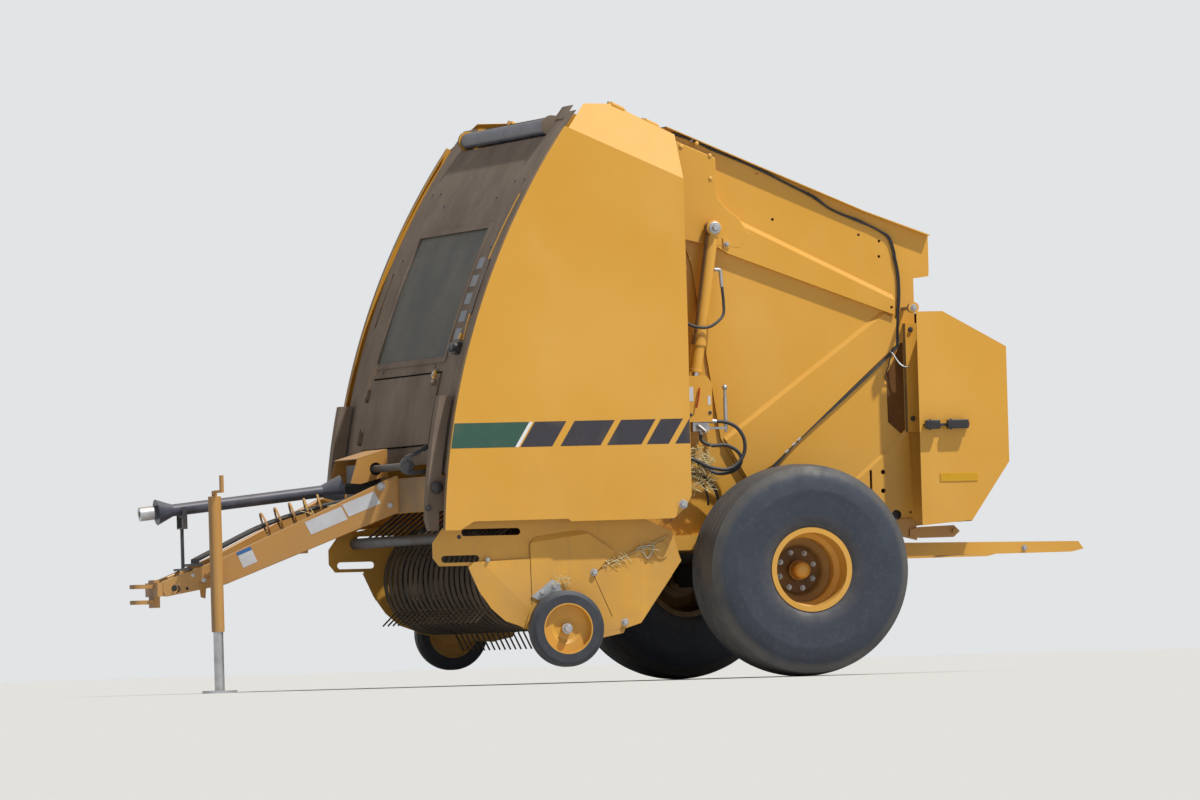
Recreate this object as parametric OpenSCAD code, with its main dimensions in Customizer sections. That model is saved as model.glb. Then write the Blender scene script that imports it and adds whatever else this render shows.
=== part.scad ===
// Round baler, large variable-chamber type, parked on its wheels and tongue jack.
// Millimetres. X runs to the rear, Y to the right-hand side, Z up.
// Inside the modules x = 0 is the wheel axle; the whole machine is then moved so
// that its origin lies under the middle of its length.

/* [Overall] */
// Front of the hitch, ahead of the axle
hitch_reach = 3450; // [3200:10:3700]
// Rear tip of the bale ramp, behind the axle
ramp_reach = 1770; // [1500:10:2000]

/* [Wheels] */
// Outer diameter of the flotation tyres
tyre_d = 1148; // [1000:2:1200]
// Section width of the flotation tyres
tyre_w = 457; // [380:1:500]
// From the chamber's inner side to the middle plane of each tyre
wheel_out = 325; // [310:5:400]
// Rim flange diameter
rim_d = 455; // [420:1:500]
// Width between the rim flanges
rim_w = 406; // [350:1:420]
// Depth of the rims' drop centre
rim_drop = 25; // [15:1:35]
// How far the rims' discs lie inside the wheels' middle planes
rim_dish = 57; // [30:1:70]
// Wheel spindle diameter
spindle_d = 60; // [50:1:76]
// Outer diameter of the gauge wheels
gauge_d = 410; // [380:5:430]
// Width of the gauge wheels
gauge_w = 84; // [60:2:90]
// Gauge wheel rim diameter
gauge_rim_d = 272; // [220:2:300]
// Depth of the gauge wheels' discs behind their outer faces
gauge_dish = 50; // [30:1:60]

/* [Body] */
// Inside width of the bale chamber
chamber_w = 1550; // [1500:10:1560]
// Side wall sheet thickness
wall_t = 8; // [5:1:10]
// Side gap between the front walls and the tailgate walls
lap_gap = 7; // [5:1:9]
// Radius of the curved front, seen from the side
front_r = 4000; // [3950:5:4050]
// Foremost point of the shields, ahead of the axle
front_nose = 1998; // [1990:1:2005]
// Sheet thickness of the hood, roof and covers
sheet_t = 5; // [3:1:8]
// From the chamber's inner side to the outer face of each side shield
shield_out = 335; // [325:1:340]
// Depth of the shields' folded edges
shield_fold = 40; // [25:1:45]
// Bend of the shields' upper facet
facet_bend = 35; // [25:1:40]
// Window opening width in the front hood
window_w = 1300; // [1100:10:1400]
// Access door width
door_w = 1300; // [1100:10:1400]
// Access door thickness
door_t = 26; // [15:1:30]
// Overhang of the tailgate's roof beyond its walls
roof_lap = 40; // [10:1:60]

/* [Rollers and belts] */
// Diameter of the belt rollers
roller_d = 120; // [90:2:130]
// Number of belts side by side
belt_n = 8; // [4:1:8]
// Width of one belt
belt_w = 172; // [150:1:175]
// Belt thickness
belt_t = 8; // [5:1:10]
// Diameter of the starter roller
starter_d = 210; // [180:2:220]

/* [Tailgate cylinders] */
// Cylinder barrel diameter
barrel_d = 70; // [60:1:76]
// Cylinder rod diameter
rod_d = 40; // [30:1:45]
// Diameter of the cylinder pins
lift_pin_d = 32; // [25:1:36]
// Width of the cylinder eyes
eye_w = 50; // [40:1:56]

/* [Pickup] */
// From the chamber's inner side to the outer face of each pickup end plate
pickup_out = 235; // [225:1:240]
// Tine circle radius of the reel
reel_r = 415; // [380:5:420]
// Radius of the stripper bands
band_r = 300; // [280:5:310]
// Number of stripper bands
band_n = 20; // [10:1:20]
// Width of one stripper band
band_w = 64; // [50:1:66]
// Number of tine bars on the reel
bar_n = 5; // [4:1:6]
// Tine thickness
tine_t = 8; // [6:1:9]
// How far the cover sheets stand off the pickup's end plates
cover_out = 14; // [8:1:16]
// Pickup pivot pin diameter
pivot_pin_d = 40; // [30:1:45]

/* [Tongue and drive] */
// Wall height of the tongue beams at the frame
beam_h_rear = 195; // [170:5:220]
// Wall height of the tongue beams at the hitch
beam_h_front = 80; // [70:5:110]
// Width of one tongue beam
beam_w = 60; // [50:2:76]
// Hitch pin bore diameter
hitch_bore_d = 33; // [25:0.5:40]
// Diameter of the driveline guard tube
guard_d = 66; // [60:1:80]
// Bore of the driveline yoke
yoke_bore_d = 35; // [30:0.5:36]
// Outer diameter of the driveline yoke
yoke_d = 76; // [60:1:90]
// Length of the driveline yoke
yoke_l = 75; // [60:1:90]
// Jack tube outer diameter
jack_d = 70; // [60:1:76]
// Jack leg diameter
jack_leg_d = 54; // [45:1:56]
// Diameter of the hydraulic hoses
hose_d = 20; // [14:1:24]

/* [Hidden] */

$fn = 72;
eps = 0.01;
slip = 0.05;
seat = 0.3;
shift_x = (hitch_reach - ramp_reach) / 2;

// Side planes, as distances from the middle plane
wall_in = chamber_w / 2;
wall_out = wall_in + wall_t;
gate_in = wall_out + lap_gap;
gate_out = gate_in + wall_t;
track_w = chamber_w + 2 * wheel_out;
shield_y = wall_in + shield_out;
plate_y = wall_in + pickup_out;
plate_t = 8;
post_y = wall_out + 147;
post_w = 64;
hood_y = post_y + 110;

// The curved front is an arc about this centre
front_c = [front_r - front_nose, 680];
hood_inset = 16;
belt_inset = 118;
wheel_z = tyre_d / 2;
// Tailgate hinge, and the ends of the lift cylinders, as x and z
hinge = [-690, 2860];
hinge_d = 60;
lift_top = [-367, 2438];
lift_foot = [-505, 1550];
cyl_y = gate_out + 75;
barrel_l = 640;
// Roof line of the tailgate, as x and z
roof_a = [-600, 2990];
roof_b = [516, 2517];
roof_c = [884, 2380];
// Pickup pivot and reel centre, as x and z
pivot = [-760, 700];
pivot_tube_d = 76;
reel_c = [-1440, 585];
guard_pivot = [-1890, 800];
gauge_c = [-1325, 293];
gauge_y = plate_y + cover_out + 16 + gauge_w / 2;
// Belt rollers of the front frame and of the tailgate, as x and z
function belt_roll(z) = [front_x(z, belt_inset + belt_t + roller_d / 2 + seat), z];
hood_roll = [front_x(3010) + 14.3, 3010];
door_axis = [-1922, door_w / 2 + 5, 1500];
door_lean = 11.67;
door_pin_d = 10;
DOOR_HINGES = [-120, 120];
FRONT_ROLLS = [belt_roll(2880), belt_roll(2200), belt_roll(1290)];
GATE_ROLLS = [[690, 2190], [690, 900], [230, 880], [-330, 2700]];
starter_c = [-930, 880];
// Hinge line of the shields: a point on it as x and z, its side plane and slope
shield_axis = [-770, 3033];
shield_axis_y = wall_out + 137;
shield_slope = 25.8;
shield_pin_d = 14;
HINGE_AT = [-150, 60];
net_pin = [735, 1985];
net_y = gate_out + 182;
drive_c = [-2240, 1090];
drive_front = [-3330, 982];
// The yoke reaches this far behind the driveline's front point
yoke_in = 20;
// Cross shaft of the gearbox, and the outer sides of the chains
cross_c = [-2110, 1190];
main_chain_y = -wall_out - 66;
starter_chain_y = -wall_out - 36;
jack_c = [-3041, -285];
// Square socket of the jack in the left beam, over its corners
socket_d = 56;
socket_z = 646;
jack_top = 1060;
jack_low = 330;

paint = [0.85, 0.62, 0.22];
dusty = [0.52, 0.43, 0.33];
dark = [0.2, 0.2, 0.21];
zinc = [0.7, 0.71, 0.72];
rubber = [0.18, 0.18, 0.19];

function front_x(z, inset = 0) = front_c[0] - sqrt(pow(front_r - inset, 2) - pow(z - front_c[1], 2));
function beam_y(x) = 100 + 0.233 * (x + 3290);

// Sheet in a plane of constant y, from y0 to y0 + t, with an outline in x and z
module plate_xz(y0, t, pts) {
    translate([0, y0 + t, 0]) rotate([90, 0, 0]) linear_extrude(t) polygon(pts);
}

// Round bar across the machine
module bar_y(c, d, y0, y1) {
    translate([c[0], y0, c[1]]) rotate([-90, 0, 0]) cylinder(d = d, h = y1 - y0);
}

// Round bar between two points
module rod(p, q, d) {
    v = q - p;
    translate(p) rotate([0, acos(v[2] / norm(v)), atan2(v[1], v[0])])
        cylinder(d = d, h = norm(v), $fn = 24);
}

// Smooth curve through chosen points, with n steps between two of them
function spline(p, n) = [for (i = [0 : len(p) - 2]) let (a = p[max(i - 1, 0)], b = p[i], c = p[i + 1],
    d = p[min(i + 2, len(p) - 1)]) for (k = [0 : (i == len(p) - 2 ? n : n - 1)]) let (u = k / n)
    b + u * (c - a) / 2 + u * u * (a - 2.5 * b + 2 * c - d / 2) + u * u * u * (1.5 * (b - c) + (d - a) / 2)];

// Hose: a tube swept along points, with 8 sides; side isn't along the hose anywhere
module hose(p, d, side = [0, 1, 0]) {
    n = 8;
    m = len(p);
    rings = [for (i = [0 : m - 1]) let (v = p[min(i + 1, m - 1)] - p[max(i - 1, 0)], t = v / norm(v),
        c = cross(side, t), u = c / norm(c), w = cross(t, u)) for (k = [0 : n - 1])
        p[i] + d / 2 * (cos(360 / n * k) * u + sin(360 / n * k) * w)];
    polyhedron(rings, concat([[for (k = [0 : n - 1]) k]], [for (i = [0 : m - 2]) for (k = [0 : n - 1])
        [i * n + k, (i + 1) * n + k, (i + 1) * n + (k + 1) % n, i * n + (k + 1) % n]],
        [[for (k = [n - 1 : -1 : 0]) (m - 1) * n + k]]));
}

// Slot with round ends across the machine, between two places along x
module slot(x, z, d, y0, y1) {
    for (c = [x[0] + d / 2, x[1] - d / 2]) bar_y([c, z], d, y0, y1);
    block([x[0] + d / 2, x[1] - d / 2], [y0, y1], [z - d / 2, z + d / 2]);
}

// Half space beyond the line from a to b on a face at y, tilted back by an angle
module beyond(a, b, y, tilt) {
    dir = b - a;
    translate([a[0], y, a[1]]) rotate([0, -atan2(dir[1], dir[0]), 0]) rotate([-tilt, 0, 0])
        translate([-1000, -500, 0])
        cube([3000, 500, 1000]);
}

module both_sides() {
    children();
    mirror([0, 1, 0]) children();
}

module block(x, y, z) {
    translate([x[0], y[0], z[0]]) cube([x[1] - x[0], y[1] - y[0], z[1] - z[0]]);
}

// Curved sheet that follows the front, between two widths and two heights
module front_sheet(y, z, inset, t) {
    intersection() {
        difference() {
            translate([front_c[0], y[0], front_c[1]]) rotate([-90, 0, 0])
                cylinder(r = front_r - inset, h = y[1] - y[0], $fn = 720);
            translate([front_c[0], y[0] - 1, front_c[1]]) rotate([-90, 0, 0])
                cylinder(r = front_r - inset - t, h = y[1] - y[0] + 2, $fn = 720);
        }
        block([front_c[0] - front_r - 10, front_c[0] - 2000], y, z);
    }
}

// Front side walls of the chamber
module side_wall() {
    wall_inset = hood_inset + sheet_t + seat;
    color(paint) intersection() {
        plate_xz(-wall_out, wall_t, [[-2000, 1135], [-1944, 1135], [-1944, 1110], [-1120, 1110],
            [-960, 780], [-40, 780], [-260, 1400],
            [-400, 2100], [-540, 2700], [-600, 2940], [-1130, 3080], [-2000, 3080]]);
        translate([front_c[0], 0, front_c[1]]) rotate([90, 0, 0])
            cylinder(r = front_r - wall_inset, h = 2000, $fn = 720);
    }
    color(paint) bar_y(hood_roll, 110, -wall_out, -wall_in);
    color(zinc) bar_y(hinge, hinge_d, -gate_out - 28, -wall_out + 1);
    color(paint) bar_y(hinge, 130, -gate_in + 1, -wall_out + 1);
}

module side_wall_left() {
    side_wall();
}

module side_wall_right() {
    mirror([0, 1, 0]) side_wall();
}

// Members across the machine: front beam, pickup pivot tube and two top tubes
module cross_frame() {
    color(paint) {
        block([-2044, -1944], [-post_y, post_y], [945, 1130]);
        both_sides() block([-1944, -1880], [-wall_in, -wall_in + 60], [1112, 1130]);
        bar_y([-1090, 2985], 90, -wall_in, wall_in);
        bar_y([-760, 2900], 70, -wall_in, wall_in);
        bar_y(pivot, pivot_tube_d, -plate_y + plate_t + 6, plate_y - plate_t - 6);
        both_sides() bar_y(pivot, pivot_pin_d, -plate_y - 14, -plate_y + plate_t + 7);
    }
}

// Lower rails under the side walls, saddled on the pickup pivot tube
module lower_rails() {
    color(paint) both_sides() difference() {
        union() {
            block([-965, 150], [-wall_out - 75, -wall_out], [700, 780]);
            plate_xz(-wall_out - 16, 16, [[-150, 700], [150, 700], [150, 785], [-150, 785]]);
        }
        bar_y(pivot, pivot_tube_d + 2 * seat, -wall_out - 76, -wall_out + 1);
    }
}

// Outriggers that carry the shields' hinge pins
module shield_brackets() {
    color(paint) both_sides() for (d = HINGE_AT) {
        along_hinge(d - 58) cylinder(d = shield_pin_d, h = 116);
        along_hinge(d - 58) translate([-8, -8, 0]) cube([126, 16, 12]);
        along_hinge(d - 58) translate([98, -8, 0]) cube([20, shield_axis_y - wall_out + 8, 12]);
    }
}

// Brackets of the cylinders' feet
module cylinder_feet() {
    color(paint) both_sides() {
        block([-560, -411], [-cyl_y - eye_w / 2 - 18, -wall_out], [1390, 1406]);
        for (s = [-1, 1]) plate_xz(-cyl_y + s * (eye_w / 2 + 12) - 6, 12,
            [[-560, 1406], [-411, 1406], [-411, 1600], [-440, 1640], [-560, 1640]]);
    }
}

// Dusty front corner posts and the lower front strip
module front_posts() {
    color(dusty) both_sides() {
        intersection() {
            plate_xz(-post_y - post_w, post_w, [[-2080, 970], [-2045, 837], [-1900, 837], [-1900, 1560],
                [-2080, 1560]]);
            difference() {
                translate([front_c[0], 0, front_c[1]]) rotate([90, 0, 0])
                    cylinder(r = front_r + 70, h = 2000, $fn = 720);
                translate([front_c[0], 1, front_c[1]]) rotate([90, 0, 0])
                    cylinder(r = front_r + 2, h = 2002, $fn = 720);
            }
        }
        block([-1998, -1950], [-post_y - post_w, -post_y], [945, 1130]);
    }
    color(dark) both_sides() bar_y([-2004, 1067], 58, -post_y - post_w - 16, -post_y - post_w + 1);
}

module axle_beam() {
    axle_y = track_w / 2 - 265;
    color(dark) {
        block([-65, 65], [-axle_y, axle_y], [wheel_z - 65, wheel_z + 65]);
        both_sides() {
            block([-90, 90], [-wall_out - 75, -wall_out + 40], [wheel_z + 65, 700]);
            bar_y([0, wheel_z], 100, -track_w / 2 + 110, -axle_y + 1);
            bar_y([0, wheel_z], spindle_d, -track_w / 2 - 20, -axle_y + 1);
        }
    }
}

// Front hood with its window, the frame of the access door and a slot for the chain
module front_hood() {
    side_y = door_w / 2 + 10;
    color(dusty) {
        difference() {
            front_sheet([-hood_y, hood_y], [1700, 3080], hood_inset, sheet_t);
            block([-2000, -1200], [-window_w / 2, window_w / 2], [1780, 2470]);
            block([-1400, -1100], [-wall_out - 2, wall_out + 2], [hood_roll[1] - 55, 3100]);
            both_sides() block([-2000, -1200], [-shield_axis_y - 15, -shield_axis_y + 10], [1990, 2290]);
        }
        difference() {
            both_sides() front_sheet([-hood_y, -side_y], [1140, 1700], hood_inset, sheet_t);
            block([-2000, -1900], [-wall_out - 75, -wall_out - 20], [1140, 1400]);
        }
        front_sheet([-side_y, side_y], [1200, 1300], hood_inset, sheet_t);
        // Frame round the window
        difference() {
            front_sheet([-window_w / 2 - 30, window_w / 2 + 30], [1750, 2500], 8, 8);
            block([-2000, -1200], [-window_w / 2, window_w / 2], [1780, 2470]);
        }
        // Top plate behind the roller
        translate([-1140, -wall_in, 3072]) rotate([0, 20, 0]) cube([330, 2 * wall_in, sheet_t]);
    }
    // Lugs and pins of the access door's hinge
    color(zinc) for (d = DOOR_HINGES) {
        along_door(d - 46) cylinder(d = door_pin_d, h = 92);
        along_door(d - 46) cylinder(d = 22, h = 16);
        along_door(d - 46) translate([0, 6, 0]) cube([40, 14, 16]);
    }
}

// Places along the access door's hinge line, measured from its middle
module along_door(d) {
    translate([door_axis[0], door_axis[1], door_axis[2]]) rotate([0, door_lean, 0]) translate([0, 0, d])
        children();
}

// Fine screen in the window opening
module window_screen() {
    color(dark) front_sheet([-window_w / 2 + seat, window_w / 2 - seat], [1780 + seat, 2470 - seat], 18, 2);
}

module front_rollers() {
    color(dark) {
        for (c = FRONT_ROLLS) {
            bar_y(c, roller_d, -wall_in + 4, wall_in - 4);
            bar_y(c, 40, -wall_in, wall_in);
        }
        bar_y(hood_roll, 90, -wall_in + 4, wall_in - 4);
        bar_y(hood_roll, 40, -wall_in, wall_in);
    }
}

// Belt runs behind the window
module front_belts() {
    pitch = (chamber_w - 20) / belt_n;
    color(rubber) for (i = [0 : belt_n - 1]) {
        y = -chamber_w / 2 + 10 + (i + 0.5) * pitch;
        front_sheet([y - belt_w / 2, y + belt_w / 2], [1290, 2880], belt_inset, belt_t);
    }
}

module starter_roller() {
    color(dark) {
        bar_y(starter_c, starter_d, -wall_in + 5, wall_in - 5);
        bar_y(starter_c, 50, -wall_in, wall_in);
    }
}

// Tongue: two tapered beams that meet at the hitch
module tongue() {
    module beam() {
        hull() {
            translate([-3300, -beam_y(-3290) - beam_w / 2, 527]) cube([10, beam_w, beam_h_front]);
            translate([-2980, -beam_y(-2980) - beam_w / 2, 585]) cube([10, beam_w, 140]);
        }
        hull() {
            translate([-2980, -beam_y(-2980) - beam_w / 2, 585]) cube([10, beam_w, 140]);
            translate([-2054, -beam_y(-2054) - beam_w / 2, 950]) cube([10, beam_w, beam_h_rear]);
        }
    }
    color(paint) {
        difference() {
            union() {
                both_sides() beam();
                translate([jack_c[0], -beam_y(jack_c[0]) - beam_w / 2 - 8, socket_z]) rotate([-90, 0, 0])
                    cylinder(d = socket_d + 22, h = 30, $fn = 4);
            }
            translate([jack_c[0], -400, socket_z]) rotate([-90, 0, 0])
                cylinder(d = socket_d, h = 400, $fn = 4);
            for (h = [[-3231, 569, 50], [-3173, 570, 17]]) bar_y([h[0], h[1]], h[2], -400, 400);
            difference() {
                block([-3301, -3265], [-300, 300], [526, 562]);
                bar_y([-3265, 562], 70, -301, 301);
            }
        }
        for (c = [[-2960, 612, 40], [-2580, 742, 60]])
            block([c[0], c[0] + 60], [-beam_y(c[0]), beam_y(c[0])], [c[1], c[1] + c[2]]);
        hose_holder();
    }
}

module hitch_clevis() {
    color(zinc) difference() {
        union() {
            block([-3330, -3300], [-128, 128], [530, 605]);
            block([-3330, -3300], [-60, 60], [470, 620]);
            for (z = [490, 575]) hull() {
                translate([-hitch_reach + 55, 0, z]) cylinder(r = 55, h = 22);
                block([-3330, -3320], [-55, 55], [z, z + 22]);
            }
        }
        translate([-hitch_reach + 55, 0, 400]) cylinder(d = hitch_bore_d, h = 300);
    }
}

// Jack tube with its arm to the beam
module jack_tube() {
    color(paint) {
        difference() {
            translate([jack_c[0], jack_c[1], jack_low]) cylinder(d = jack_d, h = jack_top - jack_low);
            translate([jack_c[0], jack_c[1], jack_low - 1])
                cylinder(d = jack_leg_d + 2 * slip, h = jack_top - jack_low - 20);
        }
        translate([jack_c[0], jack_c[1] + jack_d / 2 - 4, socket_z]) rotate([-90, 0, 0])
            cylinder(d = socket_d, h = 170, $fn = 4);
    }
    color(zinc) {
        translate([jack_c[0], jack_c[1], jack_top]) cylinder(d = 30, h = 30);
        rod([jack_c[0], jack_c[1], jack_top + 25], [jack_c[0], jack_c[1] - 150, jack_top + 25], 16);
        rod([jack_c[0], jack_c[1] - 150, jack_top + 17], [jack_c[0], jack_c[1] - 150, jack_top + 110], 24);
    }
}

module jack_leg() {
    color(zinc) {
        translate([jack_c[0], jack_c[1], 12]) cylinder(d = jack_leg_d, h = 660);
        translate([jack_c[0], jack_c[1], 0]) cylinder(d = 190, h = 14);
    }
}

module gearbox() {
    color(dark) {
        block([-2190, -2049], [-90, 90], [1000, 1215]);
        bar_y(cross_c, 40, main_chain_y + 22, -89);
        bar_y(cross_c, 100, -160, -88);
        translate([drive_c[0] + 14, 0, drive_c[1]]) rotate([0, 90, 0]) cylinder(d = 60, h = 37);
    }
}

// Guard over the gearbox: two cheeks and a top plate, open to the front
module gearbox_shield() {
    t = sheet_t;
    color(paint) difference() {
        union() {
            for (y = [-215, 215 - t]) plate_xz(y, t, [[-2255, 1115], [-2215, 1243], [-2044, 1292],
                [-2044, 1150], [-2200, 1110]]);
            plate_xz(-215, 430, [[-2220, 1243], [-2044, 1292], [-2044, 1292 + t], [-2220, 1243 + t]]);
            block([-2049, -2044], [-215, 215], [1100, 1292]);
        }
        bar_y(cross_c, 70, -300, -150);
    }
}

// Stand that holds the parked driveline above the tongue
module driveline_stand() {
    x = -3150;
    v = drive_front - drive_c;
    u = v / norm(v);
    bar_d = 16;
    axis_z = drive_c[1] + (x - drive_c[0]) * v[1] / v[0];
    rest = [x, axis_z] + (guard_d / 2 + bar_d / 2 + seat) * [-u[1], u[0]];
    color(dark) {
        bar_y(rest, bar_d, -60, 60);
        for (y = [-60, 52]) plate_xz(y, 8, [[x - 12, 900], [x + 16, 900], [x + 16, 1010], [x - 12, 1010]]);
        block([x - 12, x + 16], [-60, 60], [892, 900]);
        block([x - 8, x + 8], [-8, 8], [679, 892]);
        block([x - 12, x + 12], [-beam_y(x) - 20, beam_y(x) + 20], [667, 679]);
    }
}

// Places along the driveline, measured from its rear joint
drive_v = drive_front - drive_c;
drive_len = norm(drive_v);
module along_driveline() {
    translate([drive_c[0], 0, drive_c[1]]) rotate([0, -atan2(-drive_v[1], -drive_v[0]), 0])
        rotate([0, -90, 0]) children();
}

// Driveline with its guard tube, guard cones and the cross of its rear joint
module driveline() {
    color(dark) along_driveline() {
        translate([0, 0, 60]) cylinder(d = guard_d, h = drive_len - 100);
        translate([0, 0, 10]) cylinder(d1 = 150, d2 = guard_d, h = 110);
        translate([0, -35, 0]) rotate([-90, 0, 0]) cylinder(d = 20, h = 70);
        cylinder(d = 20, h = 15);
        translate([0, 0, drive_len - 130]) cylinder(d1 = guard_d, d2 = 140, h = 90);
        translate([0, 0, drive_len - 41]) cylinder(d = yoke_d, h = 41 - yoke_in);
    }
}

// Front yoke, bored for the tractor's shaft
module driveline_yoke() {
    color(zinc) along_driveline() difference() {
        translate([0, 0, drive_len - yoke_in]) cylinder(d = yoke_d, h = yoke_l);
        translate([0, 0, drive_len - yoke_in - 1]) cylinder(d = yoke_bore_d, h = yoke_l + 2);
    }
}

// Sprocket and chain outlines in x and z, with the chain as one band
module loop_band(a, ra, b, rb, y, w, t) {
    difference() {
        hull() {
            bar_y(a, 2 * ra + t, y, y + w);
            bar_y(b, 2 * rb + t, y, y + w);
        }
        hull() {
            bar_y(a, 2 * ra - t, y - 1, y + w + 1);
            bar_y(b, 2 * rb - t, y - 1, y + w + 1);
        }
    }
    bar_y(a, 2 * ra - t - 2 * seat, y + 4, y + w - 4);
    bar_y(b, 2 * rb - t - 2 * seat, y + 4, y + w - 4);
}

// Link plates along the two straight spans of a chain
module links(a, ra, b, rb, y, w, t) {
    pitch = 50;
    l = norm(b - a);
    u = (b - a) / l;
    lean = (ra - rb) / l;
    for (side = [-1, 1]) {
        n = lean * u + side * sqrt(1 - lean * lean) * [-u[1], u[0]];
        d = b + rb * n - a - ra * n;
        count = floor(norm(d) / pitch);
        for (i = [0 : count - 1]) let (c = a + ra * n + d * (i + 0.5) / count)
            translate([c[0], y, c[1]]) rotate([0, -atan2(d[1], d[0]), 0])
                translate([-0.3 * pitch, -1.5, -0.8 * t]) cube([0.6 * pitch, w + 3, 1.6 * t]);
    }
}

module chain_drive() {
    low = FRONT_ROLLS[2];
    color(dark) {
        loop_band(cross_c, 40, low, 110, main_chain_y, 26, 16);
        links(cross_c, 40, low, 110, main_chain_y, 26, 16);
        loop_band(low, 55, starter_c, 62, starter_chain_y, 22, 16);
        links(low, 55, starter_c, 62, starter_chain_y, 22, 16);
        bar_y(low, 40, main_chain_y - 4, -wall_out);
        bar_y(starter_c, 50, starter_chain_y - 4, -wall_out);
    }
}

// Hoses from the frame to a rack on the tongue, with their couplings parked in it
HOSE_WAY = [[-3090, 10, 722], [-2980, 0, 775], [-2700, -20, 905], [-2400, -70, 995], [-2150, -150, 1045],
    [-2070, -155, 1060]];
hose_gap = 28;
module tongue_hoses() {
    rack = [-3090, 690];
    color(rubber) for (i = [-3 : 0]) hose(concat(spline([for (p = HOSE_WAY) p + [0, i * hose_gap, 0]], 4),
        [[-2044, -155 + i * hose_gap, 1060]]), hose_d);
    color(zinc) {
        block([rack[0] - 10, rack[0] + 10], [-beam_y(rack[0]) - 20, beam_y(rack[0]) + 20],
            [rack[1], rack[1] + 14]);
        for (i = [-3 : 0]) translate([rack[0], 10 + i * hose_gap, rack[1] + 13]) cylinder(d = 24, h = 26);
    }
}

// Hose holder: loops of bar round the hoses, joined along their feet, on a stem from the tongue
module hose_holder() {
    bar_d = 10;
    plate_z = 802;
    loop_r = 2 * hose_gap + hose_d / 2 - 2;
    way = spline([for (p = HOSE_WAY) p - [0, 1.5 * hose_gap, 0]], 4);
    foot = [for (i = [8 : 12]) let (v = way[i + 1] - way[i - 1], t = v / norm(v), down = t[2] * t - [0, 0, 1])
        way[i] + (loop_r + 4) * down / norm(down)];
    for (i = [8 : 12]) translate(way[i]) along_bar(way[i + 1] - way[i - 1]) difference() {
        cylinder(r = loop_r + bar_d / 2, h = bar_d, center = true);
        cylinder(r = loop_r - bar_d / 2, h = 2 * bar_d, center = true);
    }
    hose(foot, bar_d);
    translate([foot[2][0], foot[2][1], plate_z - 2]) cylinder(d = 16, h = foot[2][2] - plate_z + 2);
    block([foot[2][0] - 20, foot[2][0] + 20], [foot[2][1] - 40, foot[2][1] + 40], [plate_z - 12, plate_z + 4]);
}

// Turns upright things to run along v
module along_bar(v) {
    rotate([0, acos(v[2] / norm(v)), atan2(v[1], v[0])]) children();
}

// Shut-off valve under the left cylinder's foot, with its red lever and a rod with a ball end
module valve_block() {
    rod_c = [-326, -880];
    color(zinc) {
        block([-520, -430], [-905, -850], [1340, 1390]);
        block([-431, rod_c[0]], [rod_c[1] - 8, rod_c[1] + 8], [1350, 1362]);
        translate([rod_c[0], rod_c[1], 1333]) cylinder(d = 16, h = 240);
        translate([rod_c[0], rod_c[1], 1575]) sphere(d = 30, $fn = 24);
        translate([-470, -880, 1322]) cylinder(d = 26, h = 19);
    }
    color([0.7, 0.1, 0.1]) hull() {
        translate([-500, -925, 1360]) cube([14, 20, 14]);
        translate([-470, -960, 1330]) cube([10, 10, 10]);
    }
}

// Hose that loops rearwards from the valve and back to the frame
module valve_hoses() {
    color(rubber) hose(concat([[-470, -880, 1322]], spline([[-470, -880, 1316], [-464, -882, 1286],
        [-410, -890, 1262], [-330, -894, 1262],
        [-262, -894, 1220], [-250, -892, 1165], [-299, -890, 1120], [-390, -884, 1112], [-474, -878, 1160],
            [-560, -864, 1230],
        [-680, -840, 1270]], 4)), hose_d);
}

// Bale ramp arms behind the axle
module bale_ramp() {
    color(paint) {
        both_sides() {
            plate_xz(-720, 50, [[65, 600], [700, 637], [1700, 640], [ramp_reach, 655], [1740, 697],
                [700, 712], [65, 640]]);
        }
        block([640, 700], [-670, 670], [645, 705]);
        block([1400, 1450], [-670, 670], [645, 690]);
    }
}

// Lower front access door with its knuckles and knob
module access_door() {
    color(dusty) {
        difference() {
            front_sheet([-door_w / 2, door_w / 2], [1310, 1690], 6, door_t);
            front_sheet([-door_w / 2 + 20, door_w / 2 - 20], [1330, 1670], 12, door_t);
        }
        for (d = DOOR_HINGES) difference() {
            union() {
                along_door(d - 28) cylinder(d = 22, h = 56);
                along_door(d - 28) translate([0, -14, 0]) cube([24, 12, 56]);
            }
            along_door(d - 29) cylinder(d = door_pin_d + 2 * slip, h = 58);
        }
    }
    color(zinc) translate([front_x(1640) - 24, -door_w / 2 + 40, 1640]) rotate([0, 90, 0])
        cylinder(d = 30, h = 32);
}

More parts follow.
